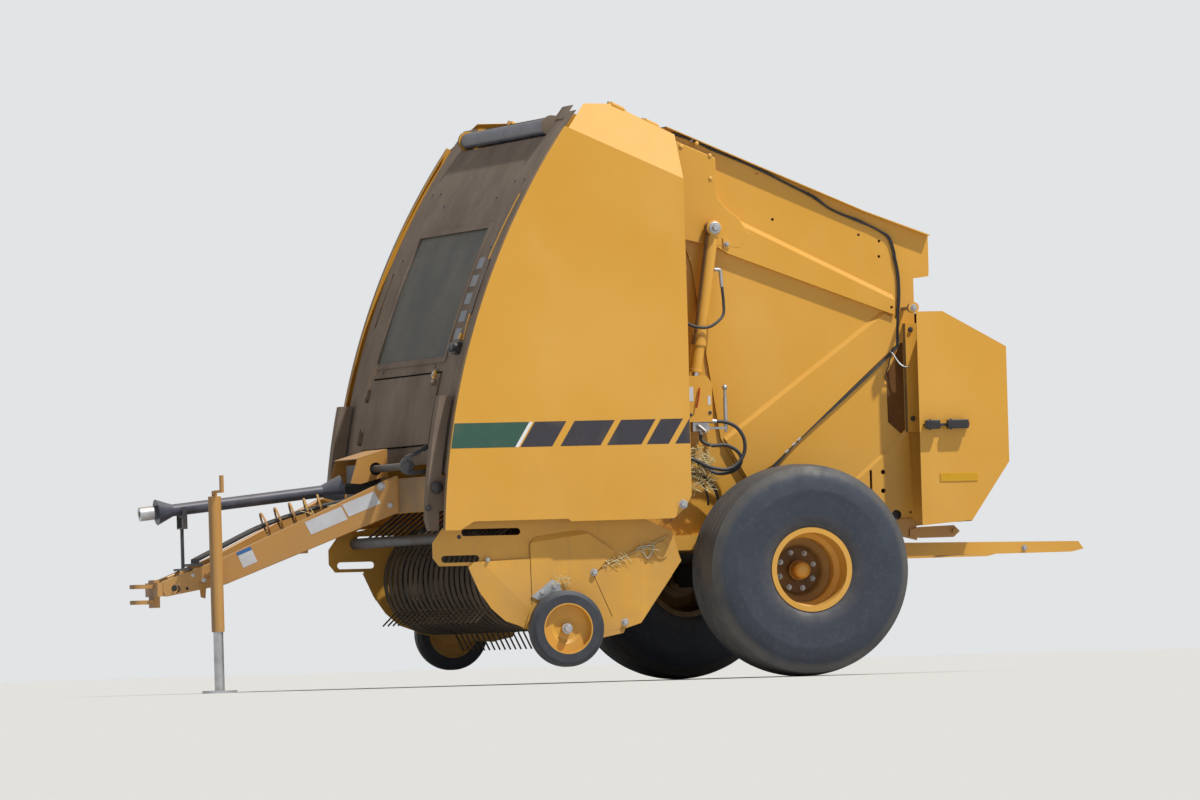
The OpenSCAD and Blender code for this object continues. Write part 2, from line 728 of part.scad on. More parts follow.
// Side shield: flat panel with a curved front edge, bevelled facet and folded edges
fold_a = [front_x(2982) + 29, 2982];
fold_b = [-601, 2699];
module shield() {
    t = 4;
    outline = [[-2000, 835], [-1912, 835], [-1831, 880], [-1305, 882], [-1290, 868], [-707, 871],
        [-640, 929], [-606, 993], [-600, 1900], fold_b, fold_a, [-2000, 3300]];
    dir = (fold_b - fold_a) / norm(fold_b - fold_a);
    color(paint) {
        intersection() {
            plate_xz(-shield_y, t, outline);
            translate([front_c[0], 0, front_c[1]]) rotate([90, 0, 0])
                cylinder(r = front_r, h = 2000, $fn = 720);
        }
        // Folded front edge
        intersection() {
            front_sheet([-shield_y, -shield_y + shield_fold], [835, fold_a[1]], 0, t);
            plate_xz(-shield_y, shield_fold, outline);
        }
        // Folded rear and lower edges
        block([-606 - t, -606], [-shield_y, -shield_y + shield_fold], [993, 1900]);
        block([-1290, -707], [-shield_y, -shield_y + shield_fold], [871, 871 + t]);
        block([-1831, -1305], [-shield_y, -shield_y + shield_fold], [882, 882 + t]);
        // Facet, bent inwards about the fold line
        translate([fold_a[0], -shield_y, fold_a[1]]) rotate(a = -facet_bend, v = [dir[0], 0, dir[1]])
            translate([-fold_a[0], 0, -fold_a[1]]) plate_xz(0, t,
                [fold_a, [-1099, 3153], [-925, 3165], [-573, 2991], fold_b]);
    }
    color(zinc) block([-690, -640], [-shield_y - 2, -shield_y + 30], [930, 960]);
    color(paint) for (d = HINGE_AT) difference() {
        union() {
            along_hinge(d - 40) cylinder(d = 30, h = 80);
            along_hinge(d - 40) translate([-2, -28, 0]) cube([8, 20, 80]);
        }
        along_hinge(d - 41) cylinder(d = shield_pin_d + 2 * slip, h = 82);
    }
}

// Places along the shields' hinge line, measured from its middle
module along_hinge(d) {
    translate([shield_axis[0], -shield_axis_y, shield_axis[1]]) rotate([0, 90 + shield_slope, 0])
        translate([0, 0, d]) children();
}

module shield_left() {
    shield();
}

module shield_right() {
    mirror([0, 1, 0]) shield();
}

// Round holes of the tailgate walls: x, z and diameter
GATE_HOLES = [[1, 2484, 16], [492, 2393, 16], [609, 2357, 16], [606, 2273, 16], [659, 1994, 16],
    [590, 1098, 26], [588, 996, 26], [741, 877, 16], [660, 863, 56]];
// Pressed ribs of the tailgate walls: the two ends of the bend line, how far the rib stands
// proud, the height of its slope, and the rest of its outline
GATE_RIBS = [
    [[-229, 2502], [680, 2061], 34, 28, [[677, 1952], [-265, 2300], [-380, 2368], [-430, 2438],
        [-395, 2500]]],
    [[-315, 1306], [603, 1970], 16, 22, [[690, 1930], [683, 1789], [-43, 1151], [-185, 1075]]],
    [[415, 1056], [744, 1330], 12, 16, [[764, 830], [760, 797], [415, 797]]]];
gate_rib = GATE_RIBS[2][2];
boss_out = GATE_RIBS[0][2];

// Tailgate side wall: sheet with pressed ribs, cut-outs, cylinder boss and rear channel
module tailgate_wall() {
    channel_out = 42;
    color(paint) {
        difference() {
            union() {
                plate_xz(-gate_out, wall_t, [[-90, 797], [770, 797], [774, 830], [748, 1320], [748, 1900],
                    [800, 1905],
                    [800, 2150], [884, 2160], roof_c, roof_b, roof_a, [-660, 2950], [-760, 2900],
                        [-760, 2820], [-620, 2700],
                    [-470, 2250], [-390, 1700], [-330, 1300], [-150, 1000]]);
                bar_y(hinge, 130, -gate_out - 22, -gate_out + 1);
                for (r = GATE_RIBS) difference() {
                    plate_xz(-gate_out - r[2], r[2] + 1, concat([r[0], r[1]], r[4]));
                    beyond(r[0] - r[3] * rib_up(r), r[1] - r[3] * rib_up(r), -gate_out - r[2],
                        atan2(r[2], r[3]));
                }
            }
            bar_y(hinge, hinge_d + 2 * slip, -gate_out - 60, -gate_in + 60);
            for (h = GATE_HOLES) bar_y([h[0], h[1]], h[2], -gate_out - 60, -gate_in + 60);
            block([512, 526], [-gate_out - 60, -gate_in + 60], [985, 1110]);
            plate_xz(-gate_out - 60, 120, [[712, 1800], [668, 1700], [628, 1630], [630, 1370], [703, 1305],
                [738, 1335], [738, 1800]]);
        }
        bar_y(lift_top, 116, -gate_out - boss_out, -gate_out + 1);
        bar_y(lift_top, 70, -gate_out - boss_out - 12, -gate_out + 1);
        bar_y(lift_top, lift_pin_d, -cyl_y - eye_w / 2 - 14, -gate_out + 1);
        // Channel along the rear edge, open to the rear
        difference() {
            block([731, 803], [-gate_out - channel_out, -gate_out + 1], [1312, 1905]);
            block([739, 804], [-gate_out - channel_out + 6, -gate_out + 2], [1320, 1897]);
        }
    }
}

// Upward normal of a rib's bend line, as x and z
function rib_up(r) = let (d = r[1] - r[0]) [-d[1], d[0]] / norm(d);

module tailgate_wall_left() {
    tailgate_wall();
}

module tailgate_wall_right() {
    mirror([0, 1, 0]) tailgate_wall();
}

module tailgate_roof() {
    t = sheet_t;
    end_x = roof_c[0];
    color(paint) {
        plate_xz(-gate_out - roof_lap, 2 * (gate_out + roof_lap),
            [roof_a, roof_b, roof_c, [end_x + 6, roof_c[1]],
            [end_x + 6, roof_c[1] + t], roof_b + [0, t], roof_a + [0, t]]);
        block([end_x, end_x + t], [-gate_out, gate_out], [2165, roof_c[1] + 2]);
        // Box across the rear, above the net cover
        block([end_x + 2, end_x + 41], [-gate_out + 98, gate_out - 98], [2190, roof_c[1] + 3]);
        block([-250, -190], [-gate_in, gate_in], [2730, 2790]);
        block([300, 360], [-gate_in, gate_in], [2510, 2570]);
    }
}

// Cable under the roof's edge, then down and along the second rib's lower edge
module tailgate_cable() {
    d = 14;
    color(rubber) hose([for (q = spline([[-537, 2950], [-290, 2840], [48, 2674], [342, 2524], [449, 2471],
        [538, 2434], [626, 2404],
        [668, 2353], [688, 2280], [692, 2186], [694, 2080], [700, 1980], [701, 1850], [697, 1805],
            [681, 1776],
        [400, 1529], [-38, 1144]], 3)) [q[0], -gate_out - d / 2 - seat, q[1]]], d);
}

module tailgate_rollers() {
    color(dark) for (c = GATE_ROLLS) {
        bar_y(c, roller_d, -gate_in + 15, gate_in - 15);
        bar_y(c, 40, -gate_in, gate_in);
    }
}

// Outer belt runs between the tailgate rollers
module tailgate_belts() {
    pitch = (chamber_w - 20) / belt_n;
    r = roller_d / 2 + seat;
    a = GATE_ROLLS[0];
    b = GATE_ROLLS[1];
    color(rubber) for (i = [0 : belt_n - 1]) {
        y = -chamber_w / 2 + 10 + (i + 0.5) * pitch;
        block([a[0] + r, a[0] + r + belt_t], [y - belt_w / 2, y + belt_w / 2], [b[1], a[1]]);
    }
}

// Inner box of the net wrap, behind the belts
module net_box() {
    color(paint) {
        plate_xz(-gate_in, 2 * gate_in, [[806, 820], [830, 820], [830, 1900], [806, 1900]]);
        both_sides() plate_xz(-gate_in, 8, [[730, 797], [1000, 820], [1180, 1100], [1180, 1740],
            [850, 1900], [730, 1900]]);
        both_sides() bar_y(net_pin, 24, -net_y + 6, -gate_out);
    }
}

module net_roll() {
    color([0.85, 0.86, 0.84]) bar_y([1010, 1330], 250, -gate_in + 8, gate_in - 8);
}

// Feet under the tailgate walls with their arms and pins
module tailgate_feet() {
    y = -gate_out - gate_rib;
    color(dark) both_sides() {
        difference() {
            plate_xz(y - 12, 12, [[640, 840], [651, 797], [667, 748], [770, 723], [772, 783], [758, 840]]);
            bar_y([748, 751], 14, y - 13, y + 1);
            bar_y([660, 863], 56, y - 13, y + 1);
        }
        plate_xz(y - 24, 12, [[726, 740], [788, 734], [978, 735], [1014, 767], [980, 800], [778, 794],
            [726, 780]]);
        bar_y([979, 767], 24, y - 40, y - 23);
    }
}

// Rear cover over the net wrap
module net_cover() {
    t = sheet_t;
    side = [[749, 800], [1034, 823], [1260, 1144], [1260, 1765], [899, 1963], [749, 1963]];
    color(paint) {
        both_sides() difference() {
            plate_xz(-net_y, t, side);
            bar_y(net_pin, 24 + 2 * slip, -net_y - 1, -net_y + t + 1);
        }
        for (p = [[[1034, 823], [1260, 1144]], [[1260, 1144], [1260, 1765]], [[1260, 1765], [899, 1963]],
            [[899, 1963], [855, 1963]]])
            hull() for (q = p) translate([q[0] - t, -net_y, q[1] - t]) cube([t, 2 * net_y, t]);
        both_sides() difference() {
            bar_y(net_pin, 60, -net_y, -net_y + 30);
            bar_y(net_pin, 24 + 2 * slip, -net_y - 1, -net_y + 40);
        }
    }
}

module lamp_arm() {
    color(dark) both_sides() {
        block([769, 1028], [-net_y - 26, -net_y], [1338, 1352]);
        block([769, 850], [-net_y - 50, -net_y - 26], [1325, 1368]);
        block([895, 1015], [-net_y - 50, -net_y - 26], [1325, 1368]);
    }
}

// Lift cylinder barrel and rod, drawn along the closed cylinder's axis
lift_v = lift_foot - lift_top;
lift_len = norm(lift_v);
lift_tilt = atan2(-lift_v[0], -lift_v[1]);
module along_cylinder() {
    translate([lift_top[0], -cyl_y, lift_top[1]]) rotate([0, lift_tilt, 0]) mirror([0, 0, 1]) children();
}

module cylinder_barrel() {
    color(paint) along_cylinder() difference() {
        union() {
            translate([0, 0, 40]) cylinder(d = barrel_d, h = barrel_l - 40);
            translate([0, -eye_w / 2, 0]) rotate([-90, 0, 0]) cylinder(d = 84, h = eye_w);
            translate([0, 0, barrel_l - 50]) cylinder(d = barrel_d + 10, h = 50);
        }
        translate([0, 0, 62]) cylinder(d = rod_d + 2 * slip, h = barrel_l);
        translate([0, -eye_w, 0]) rotate([-90, 0, 0]) cylinder(d = lift_pin_d + 2 * slip, h = 2 * eye_w);
    }
}

module cylinder_rod() {
    color(zinc) along_cylinder() {
        translate([0, 0, 70]) cylinder(d = rod_d, h = lift_len - 90);
        translate([0, 0, lift_len]) difference() {
            union() {
                translate([0, -eye_w / 2, 0]) rotate([-90, 0, 0]) cylinder(d = 70, h = eye_w);
                translate([0, -eye_w / 2 - 5, 0]) rotate([-90, 0, 0])
                    cylinder(d = lift_pin_d, h = eye_w + 10);
            }
        }
    }
}

module cylinder_barrel_left() {
    cylinder_barrel();
}

module cylinder_barrel_right() {
    mirror([0, 1, 0]) cylinder_barrel();
}

module cylinder_rod_left() {
    cylinder_rod();
}

module cylinder_rod_right() {
    mirror([0, 1, 0]) cylinder_rod();
}

// Flotation tyre and its rim, turned about the axle; the outer side is at +z
module wheel_frame() {
    translate([0, -track_w / 2, wheel_z]) rotate([90, 0, 0]) children();
}

module tyre() {
    r = tyre_d / 2;
    w = tyre_w / 2;
    bead_r = rim_d / 2 - 22;
    color(rubber) wheel_frame() rotate_extrude() polygon([[bead_r, -rim_w / 2 + 6.5],
        [rim_d / 2 + 2, -rim_w / 2 + 6.5], [rim_d / 2 + 10, -rim_w / 2],
        [rim_d / 2 + 60, -w + 8], [0.68 * r, -w], [0.82 * r, -w + 8], [0.92 * r, -w + 34],
            [r - 16, -w + 60], [r, -w + 130],
        [r, w - 130], [r - 16, w - 60], [0.92 * r, w - 34], [0.82 * r, w - 8], [0.68 * r, w],
        [rim_d / 2 + 60, w - 8], [rim_d / 2 + 10, rim_w / 2], [rim_d / 2 + 2, rim_w / 2 - 6.5],
            [bead_r, rim_w / 2 - 6.5]]);
}

module rim() {
    bead_r = rim_d / 2 - 22;
    w = rim_w / 2;
    t = 6;
    r = bead_r - seat;
    well_r = r - rim_drop;
    disc_t = 12;
    color(paint) wheel_frame() {
        // Barrel with its flanges and drop centre
        rotate_extrude() polygon([[r - t, -w], [rim_d / 2, -w], [rim_d / 2, -w + t], [r, -w + t], [r, -75],
            [well_r, -50],
            [well_r, 50], [r, 75], [r, w - t], [rim_d / 2, w - t], [rim_d / 2, w], [r - t, w], [r - t, 77],
            [well_r - t, 52], [well_r - t, -52], [r - t, -77]]);
        difference() {
            union() {
                // Dished disc, hub and hub cap
                rotate_extrude() polygon([[40, -rim_dish], [120, -rim_dish], [140, -rim_dish + 27],
                    [well_r - t + 1, -rim_dish + 37],
                    [well_r - t + 1, -rim_dish + 37 - disc_t], [136, -rim_dish + 15 - disc_t],
                        [116, -rim_dish - disc_t], [40, -rim_dish - disc_t]]);
                translate([0, 0, -90]) cylinder(d = 150, h = 90 - rim_dish);
                translate([0, 0, -91]) cylinder(d = 110, h = 71);
                translate([0, 0, -91]) cylinder(d = 92, h = 128);
            }
            translate([0, 0, -92]) cylinder(d = spindle_d + 2 * slip, h = 119);
        }
    }
}

module tyre_left() {
    tyre();
}

module tyre_right() {
    mirror([0, 1, 0]) tyre();
}

module rim_left() {
    rim();
}

module rim_right() {
    mirror([0, 1, 0]) rim();
}

// Cover sheets of the pickup's end plates: outline, the two ends of the line past which the
// sheet is bent inwards, and the angle of that bend
COVERS = [
    [[[-1844, 635], [-1813, 663], [-1498, 674], [-1495, 425], [-1544, 307], [-1643, 343], [-1721, 412],
        [-1788, 509]],
        [-1511, 406], [-1764, 657], 5],
    [[[-1499, 674], [-1498, 751], [-1469, 789], [-1388, 820], [-1207, 816], [-1167, 801], [-1024, 701],
        [-1145, 575],
        [-1048, 350], [-1103, 268], [-1400, 268], [-1540, 305], [-1496, 425]],
        [-1469, 762], [-1207, 796], 25],
    [[[-1146, 574], [-1094, 616], [-1027, 639], [-826, 729], [-826, 389], [-886, 313], [-972, 287],
        [-1104, 271], [-1048, 350]],
        [-871, 900], [-871, 200], 14]];

// Pickup end plates with their cover sheets, joined by cross tubes
module pickup_frame() {
    color(paint) {
        both_sides() difference() {
            union() {
                plate_xz(-plate_y, plate_t, [[-2040, 690], [-2005, 645], [-1841, 645], [-1830, 600],
                    [-1778, 490], [-1670, 375],
                    [-1540, 300], [-1400, 262], [-1100, 238], [-967, 290], [-877, 318], [-700, 560],
                        [-650, 660],
                    [-690, 800], [-900, 900], [-1700, 900], [-1980, 850], [-2040, 770]]);
                bar_y(pivot, 90, -plate_y - 12, -plate_y + 1);
                for (c = COVERS) difference() {
                    plate_xz(-plate_y - cover_out, cover_out + 1, c[0]);
                    beyond(c[1], c[2], -plate_y - cover_out, c[3]);
                }
                plate_xz(-plate_y - 5, 6, [[-871, 660], [-710, 780], [-644, 644], [-828, 389],
                    [-871, 330]]);
            }
            bar_y(pivot, pivot_pin_d + 2 * slip, -plate_y - 20, -plate_y + 20);
            for (q = [[[-1144, 574], [-1047, 352]], [[-1500, 790], [-1496, 425]]])
                plate_xz(-plate_y - cover_out - 1, cover_out - 2,
                [q[0] - [2, 0], q[0] + [2, 0], q[1] + [2, 0], q[1] - [2, 0]]);
            bar_y(guard_pivot, 24 + 2 * slip, -plate_y - 1, -plate_y + 20);
            bar_y(reel_c, 50 + 2 * slip, -plate_y - 1, -plate_y + 20);
            slot([-1993, -1780], 682, 38, -plate_y - 1, -plate_y + 20);
            slot([-1877, -1546], 822, 38, -plate_y - 1, -plate_y + 20);
        }
        bar_y([-940, 470], 70, -plate_y + plate_t, plate_y - plate_t);
        for (e = BAND_ENDS) bar_y(reel_c + band_at(e, e[1] + e[2] / 2 + 0.1, -2), e[2], -plate_y + plate_t,
            plate_y - plate_t);
    }
}

// Straight ends of the stripper bands: angle from upright where they leave the arc, length and
// diameter of the tube that carries them; the first is above the reel, the second below
BAND_ENDS = [[20, 310, 40], [170, 330, 40]];
function band_dir(e) = e[0] < 90 ? [cos(e[0]), -sin(e[0])] : [-cos(e[0]), sin(e[0])];
function band_at(e, along, out) = (band_r + out) * [sin(e[0]), cos(e[0])] + along * band_dir(e);

// Stripper bands: strips bent round the front of the reel
module stripper_bands() {
    span = 2 * (plate_y - plate_t) - 40;
    pitch = span / band_n;
    t = 4;
    y0 = -span / 2;
    top = band_at(BAND_ENDS[0], 0, 0);
    low = band_at(BAND_ENDS[1], 0, 0);
    color(paint) intersection() {
        union() {
            intersection() {
                difference() {
                    bar_y(reel_c, 2 * band_r, y0, -y0);
                    bar_y(reel_c, 2 * (band_r - t), y0 - 1, 1 - y0);
                }
                plate_xz(y0, span, [for (q = [[-400, -400], [-400, 400], [top[0], 400], [top[0], 0],
                    [low[0], 0], [low[0], -400]]) reel_c + q]);
            }
            for (e = BAND_ENDS) plate_xz(y0, span, [for (q = [band_at(e, -1, 0), band_at(e, e[1], 0),
                band_at(e, e[1], -t),
                band_at(e, -1, -t)]) reel_c + q]);
        }
        for (i = [0 : band_n - 1]) {
            y = -span / 2 + (i + 0.5) * pitch;
            block([-2000, -900], [y - band_w / 2, y + band_w / 2], [0, 1200]);
        }
    }
}

// Reel: shaft, spider discs and tine bars; the tines run in the gaps between the bands
module pickup_reel() {
    span = 2 * (plate_y - plate_t) - 40;
    pitch = span / band_n;
    bar_r = 190;
    bar_s = 30;
    knee_r = bar_r + 130;
    tine_bend = 16;
    color(dark) {
        bar_y(reel_c, 50, -plate_y + 1, plate_y - 1);
        for (i = [-9.5, -4.5, 0.5, 5.5, 9.5]) bar_y(reel_c, 2 * bar_r + 40, i * pitch - 5, i * pitch + 5);
        for (k = [0 : bar_n - 1]) {
            a = 360 / bar_n * k + 20;
            translate([reel_c[0], 0, reel_c[1]]) rotate([0, a, 0]) {
                translate([-bar_s / 2, -span / 2 + 6, bar_r - bar_s / 2]) cube([bar_s, span - 12, bar_s]);
                for (i = [1 - band_n / 2 : band_n / 2 - 1])
                    plate_xz(i * pitch - tine_t / 2, tine_t,
                        [[-tine_t / 2, bar_r], [-tine_t / 2, knee_r], [-tine_bend - tine_t / 2, reel_r - 1],
                        [-tine_bend + tine_t / 2, reel_r - 1], [tine_t / 2, knee_r], [tine_t / 2, bar_r]]);
            }
        }
    }
}

module gauge_arms() {
    color(zinc) both_sides() {
        plate_xz(-plate_y - cover_out - 8, 8, [[-1500, 470], [-1380, 560], [-1340, 540], [-1280, 270],
            [-1360, 270], [-1420, 430]]);
        bar_y(gauge_c, 24, -gauge_y - gauge_w / 2 + gauge_dish - 24, -plate_y - cover_out - 7);
    }
}

module gauge_wheel() {
    r = gauge_d / 2;
    w = gauge_w / 2;
    color(rubber) translate([gauge_c[0], -gauge_y, gauge_c[1]]) rotate([90, 0, 0]) {
        rotate_extrude() polygon([[gauge_rim_d / 2, -w], [r - 24, -w], [r, -w + 18], [r, w - 18],
            [r - 24, w], [gauge_rim_d / 2, w]]);
    }
    color(paint) translate([gauge_c[0], -gauge_y, gauge_c[1]]) rotate([90, 0, 0]) difference() {
        union() {
            rotate_extrude() polygon([[gauge_rim_d / 2 - 6, -w], [gauge_rim_d / 2, -w],
                [gauge_rim_d / 2, w], [gauge_rim_d / 2 - 6, w]]);
            rotate_extrude() polygon([[20, w - gauge_dish], [60, w - gauge_dish], [80, w - gauge_dish + 10],
                [gauge_rim_d / 2 - 5, w - gauge_dish + 10],
                [gauge_rim_d / 2 - 5, w - gauge_dish + 4], [82, w - gauge_dish + 4],
                    [62, w - gauge_dish - 6], [20, w - gauge_dish - 6]]);
            translate([0, 0, -w]) cylinder(d = 56, h = 2 * w - gauge_dish + 14);
        }
        translate([0, 0, -w - 1]) cylinder(d = 24 + 2 * slip, h = 2 * w + 2);
    }
}

module gauge_wheel_left() {
    gauge_wheel();
}

module gauge_wheel_right() {
    mirror([0, 1, 0]) gauge_wheel();
}

// Crop guard over the pickup: tube with trailing fingers
module windguard() {
    span = plate_y - plate_t - 6;
    color(dark) {
        bar_y(guard_pivot, 60, -span, span);
        bar_y(guard_pivot, 24, -plate_y + 1, plate_y - 1);
        for (i = [-6 : 6]) plate_xz(i * 125 - 6, 12, [guard_pivot + [-6, 20], [-1702, 972], [-1440, 1042],
            [-1250, 1052],
            [-1250, 1040], [-1440, 1030], [-1697, 960], guard_pivot + [8, 20]]);
    }
}

translate([shift_x, 0, 0]) {
    side_wall_left();
    side_wall_right();
    cross_frame();
    lower_rails();
    shield_brackets();
    cylinder_feet();
    front_posts();
    axle_beam();
    front_hood();
    window_screen();
    front_rollers();
    front_belts();
    starter_roller();
    tongue();
    hitch_clevis();
    jack_tube();
    jack_leg();
    gearbox();
    gearbox_shield();
    driveline_stand();
    driveline();
    driveline_yoke();
    chain_drive();
    tongue_hoses();
    valve_block();
    valve_hoses();
    bale_ramp();
    access_door();
    shield_left();
    shield_right();
    tailgate_wall_left();
    tailgate_wall_right();
    tailgate_roof();
    tailgate_cable();
    tailgate_rollers();
    tailgate_belts();
    net_box();
    net_roll();
    tailgate_feet();
    net_cover();
    lamp_arm();
    cylinder_barrel_left();
    cylinder_barrel_right();
    cylinder_rod_left();
    cylinder_rod_right();
    tyre_left();
    tyre_right();
    rim_left();
    rim_right();
    pickup_frame();
    stripper_bands();
    pickup_reel();
    gauge_arms();
    gauge_wheel_left();
    gauge_wheel_right();
    windguard();
}
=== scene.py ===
"""Round baler: finish, small hardware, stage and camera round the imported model.

Places are given in millimetres from the middle of the main axle on the floor:
x to the rear, y to the right-hand side, z up. at() turns them into the frame's metres.
"""
import math
import random

import bmesh
import bpy
from mathutils import Matrix, Vector


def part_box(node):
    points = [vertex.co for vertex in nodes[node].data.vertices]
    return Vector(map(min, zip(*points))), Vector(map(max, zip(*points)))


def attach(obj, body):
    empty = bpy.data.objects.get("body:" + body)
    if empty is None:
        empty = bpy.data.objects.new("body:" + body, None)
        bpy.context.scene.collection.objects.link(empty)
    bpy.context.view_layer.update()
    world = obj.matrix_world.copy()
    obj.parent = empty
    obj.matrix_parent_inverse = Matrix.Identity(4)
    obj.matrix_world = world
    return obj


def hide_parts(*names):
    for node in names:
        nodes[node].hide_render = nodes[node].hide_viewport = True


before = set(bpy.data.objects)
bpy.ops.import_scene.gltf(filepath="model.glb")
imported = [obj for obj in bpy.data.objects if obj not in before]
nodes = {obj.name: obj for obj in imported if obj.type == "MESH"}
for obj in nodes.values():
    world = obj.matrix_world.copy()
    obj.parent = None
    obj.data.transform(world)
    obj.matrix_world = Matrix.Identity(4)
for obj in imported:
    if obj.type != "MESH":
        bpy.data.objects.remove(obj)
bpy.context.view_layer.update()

MM = 0.001


def middle(node):
    """Centre of a node's box."""
    low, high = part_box(node)
    return (low + high) / 2


def inner_face(node):
    """Least y of a node, in millimetres."""
    return round(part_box(node)[0].y / MM, 1)


def outer_face(node):
    """Largest y of a node, in millimetres."""
    return round(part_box(node)[1].y / MM, 1)


def outer_radius(node):
    """Radius of a wheel's node."""
    low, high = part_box(node)
    return (high.z - low.z) / 2


AXLE_X = middle("tyre_left").x
TYRE_R = outer_radius("tyre_left")
SIDES = {"left": -1, "right": 1}
BOTH = tuple(SIDES)
LEFT = ("left",)
ACROSS = Vector((0, 1, 0))

# Thickness of blank plates and stripes, in millimetres
FILM = 0.6

# Outer faces, in millimetres from the middle plane
SHEET = 8
LATCH_PAD = 2
BUMPER_SEAT = 16
ARM_DEPTH = 34
WALL_Y = inner_face("side_wall_right") + SHEET
GATE_Y = inner_face("tailgate_wall_right") + SHEET
ARM_Y = GATE_Y + ARM_DEPTH
PIN_Y = outer_face("tailgate_wall_right")
SHIELD_Y = outer_face("shield_right") - LATCH_PAD
POST_Y = outer_face("front_posts") - BUMPER_SEAT
FOOT_Y = outer_face("cylinder_feet")
RAIL_Y = outer_face("lower_rails")
COVER_Y = outer_face("pickup_frame")
NET_Y = outer_face("net_cover")
GAUGE_Y = outer_face("gauge_arms")
BARREL_Y = round(middle("cylinder_barrel_right").y / MM, 1)
RIM_Y = 1043
RAMP_Y = 720

# Centres on the sides, in x and z
LIFT_PIN = (-367, 2438)
GAUGE_HUB = (-1325, 293)

# The curved front is made of arcs about this centre, in x and z
FRONT_C = (2002, 680)
FRONT_R = 4000
HOOD_R = 3984
DOOR_R = 3994


def at(x, y, z):
    """A place in millimetres from the axle, as a vector in metres."""
    return Vector((AXLE_X + x * MM, y * MM, z * MM))


def front_x(z, radius):
    """x of the curved front at a height, on an arc of a radius."""
    return FRONT_C[0] - math.sqrt(radius ** 2 - (z - FRONT_C[1]) ** 2)


def on_front(y, z, lift=0.0, radius=HOOD_R):
    """A place on or off the curved front, and the direction out of it."""
    x = front_x(z, radius)
    out = Vector((x - FRONT_C[0], 0, z - FRONT_C[1])).normalized()
    return at(x, y, z) + out * lift * MM, out


# Mesh building

def finish_mesh(name, mesh_data, material, body, smooth_angle=None):
    """Turns a bmesh into an object with a material that rides on a body."""
    mesh = bpy.data.meshes.new(name)
    bmesh.ops.recalc_face_normals(mesh_data, faces=mesh_data.faces)
    mesh_data.to_mesh(mesh)
    mesh_data.free()
    mesh.materials.append(material)
    if smooth_angle:
        mesh.shade_smooth()
        mesh.set_sharp_from_angle(angle=math.radians(smooth_angle))
    piece = bpy.data.objects.new(name, mesh)
    bpy.context.scene.collection.objects.link(piece)
    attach(piece, body)
    return piece


def bevel(piece, width, segments=2, angle=30):
    """Rounds the piece's sharp edges; the width is in millimetres."""
    modifier = piece.modifiers.new("edge", "BEVEL")
    modifier.width = width * MM
    modifier.segments = segments
    modifier.limit_method = "ANGLE"
    modifier.angle_limit = math.radians(angle)


def circle(side, other, steps):
    """Directions all round, from two at right angles."""
    angles = [2 * math.pi * i / steps for i in range(steps)]
    return [side * math.cos(angle) + other * math.sin(angle) for angle in angles]


def circle_about(axis, steps):
    """Directions all round an axis."""
    side = axis.orthogonal().normalized()
    return circle(side, axis.cross(side), steps)


def lathe(mesh_data, profile, centre, axis, steps):
    """A ring: turns a closed profile of radius and place along the axis, in metres."""
    rings = []
    for out in circle_about(axis, steps):
        rings.append([mesh_data.verts.new(centre + out * r + axis * a) for r, a in profile])
    count = len(profile)
    for i in range(steps):
        here, there = rings[i], rings[(i + 1) % steps]
        for k in range(count):
            k2 = (k + 1) % count
            mesh_data.faces.new((here[k], there[k], there[k2], here[k2]))


def turned(mesh_data, profile, centre, axis, steps=24):
    """A turned solid whose profile, in millimetres, starts and ends on the axis."""
    around = circle_about(axis, steps)
    rows = []
    for r, a in profile:
        base = centre + axis * a * MM
        if r == 0:
            rows.append([mesh_data.verts.new(base)])
        else:
            rows.append([mesh_data.verts.new(base + out * r * MM) for out in around])
    for low, high in zip(rows, rows[1:]):
        for i in range(steps):
            j = (i + 1) % steps
            ring = [low[i % len(low)], low[j % len(low)], high[j % len(high)], high[i % len(high)]]
            # A row on the axis is one corner, so a face there has three
            corners = list(dict.fromkeys(ring))
            if len(corners) > 2:
                mesh_data.faces.new(corners)


def plate(mesh_data, outline, depth):
    """A flat plate from an outline of vectors and a vector through its depth."""
    low = [mesh_data.verts.new(p) for p in outline]
    high = [mesh_data.verts.new(p + depth) for p in outline]
    mesh_data.faces.new(low[::-1])
    mesh_data.faces.new(high)
    for i in range(len(outline)):
        j = (i + 1) % len(outline)
        mesh_data.faces.new((low[i], low[j], high[j], high[i]))


def side_plate(mesh_data, sign, face, outline, depth):
    """A plate on a side face: outline in x and z, depth outwards, all in millimetres."""
    plate(mesh_data, [at(x, sign * face, z) for x, z in outline], ACROSS * sign * depth * MM)


def box(mesh_data, low, high):
    """A box between two corners in millimetres from the axle."""
    corners = ((low[0], low[2]), (high[0], low[2]), (high[0], high[2]), (low[0], high[2]))
    outline = [at(x, low[1], z) for x, z in corners]
    plate(mesh_data, outline, ACROSS * (high[1] - low[1]) * MM)


def tube(mesh_data, points, radius, steps=12):
    """A round tube along a list of vectors, with closed ends; the radius is in millimetres."""
    rings = []
    side = Vector((0.3, 0.9, 0.1)).normalized()
    for i, point in enumerate(points):
        ahead = points[min(i + 1, len(points) - 1)] - points[max(i - 1, 0)]
        ahead.normalize()
        side = (side - ahead * side.dot(ahead)).normalized()
        around = circle(side, ahead.cross(side), steps)
        rings.append([mesh_data.verts.new(point + out * radius * MM) for out in around])
    for here, there in zip(rings, rings[1:]):
        for k in range(steps):
            k2 = (k + 1) % steps
            mesh_data.faces.new((here[k], there[k], there[k2], here[k2]))
    mesh_data.faces.new(rings[0][::-1])
    mesh_data.faces.new(rings[-1])


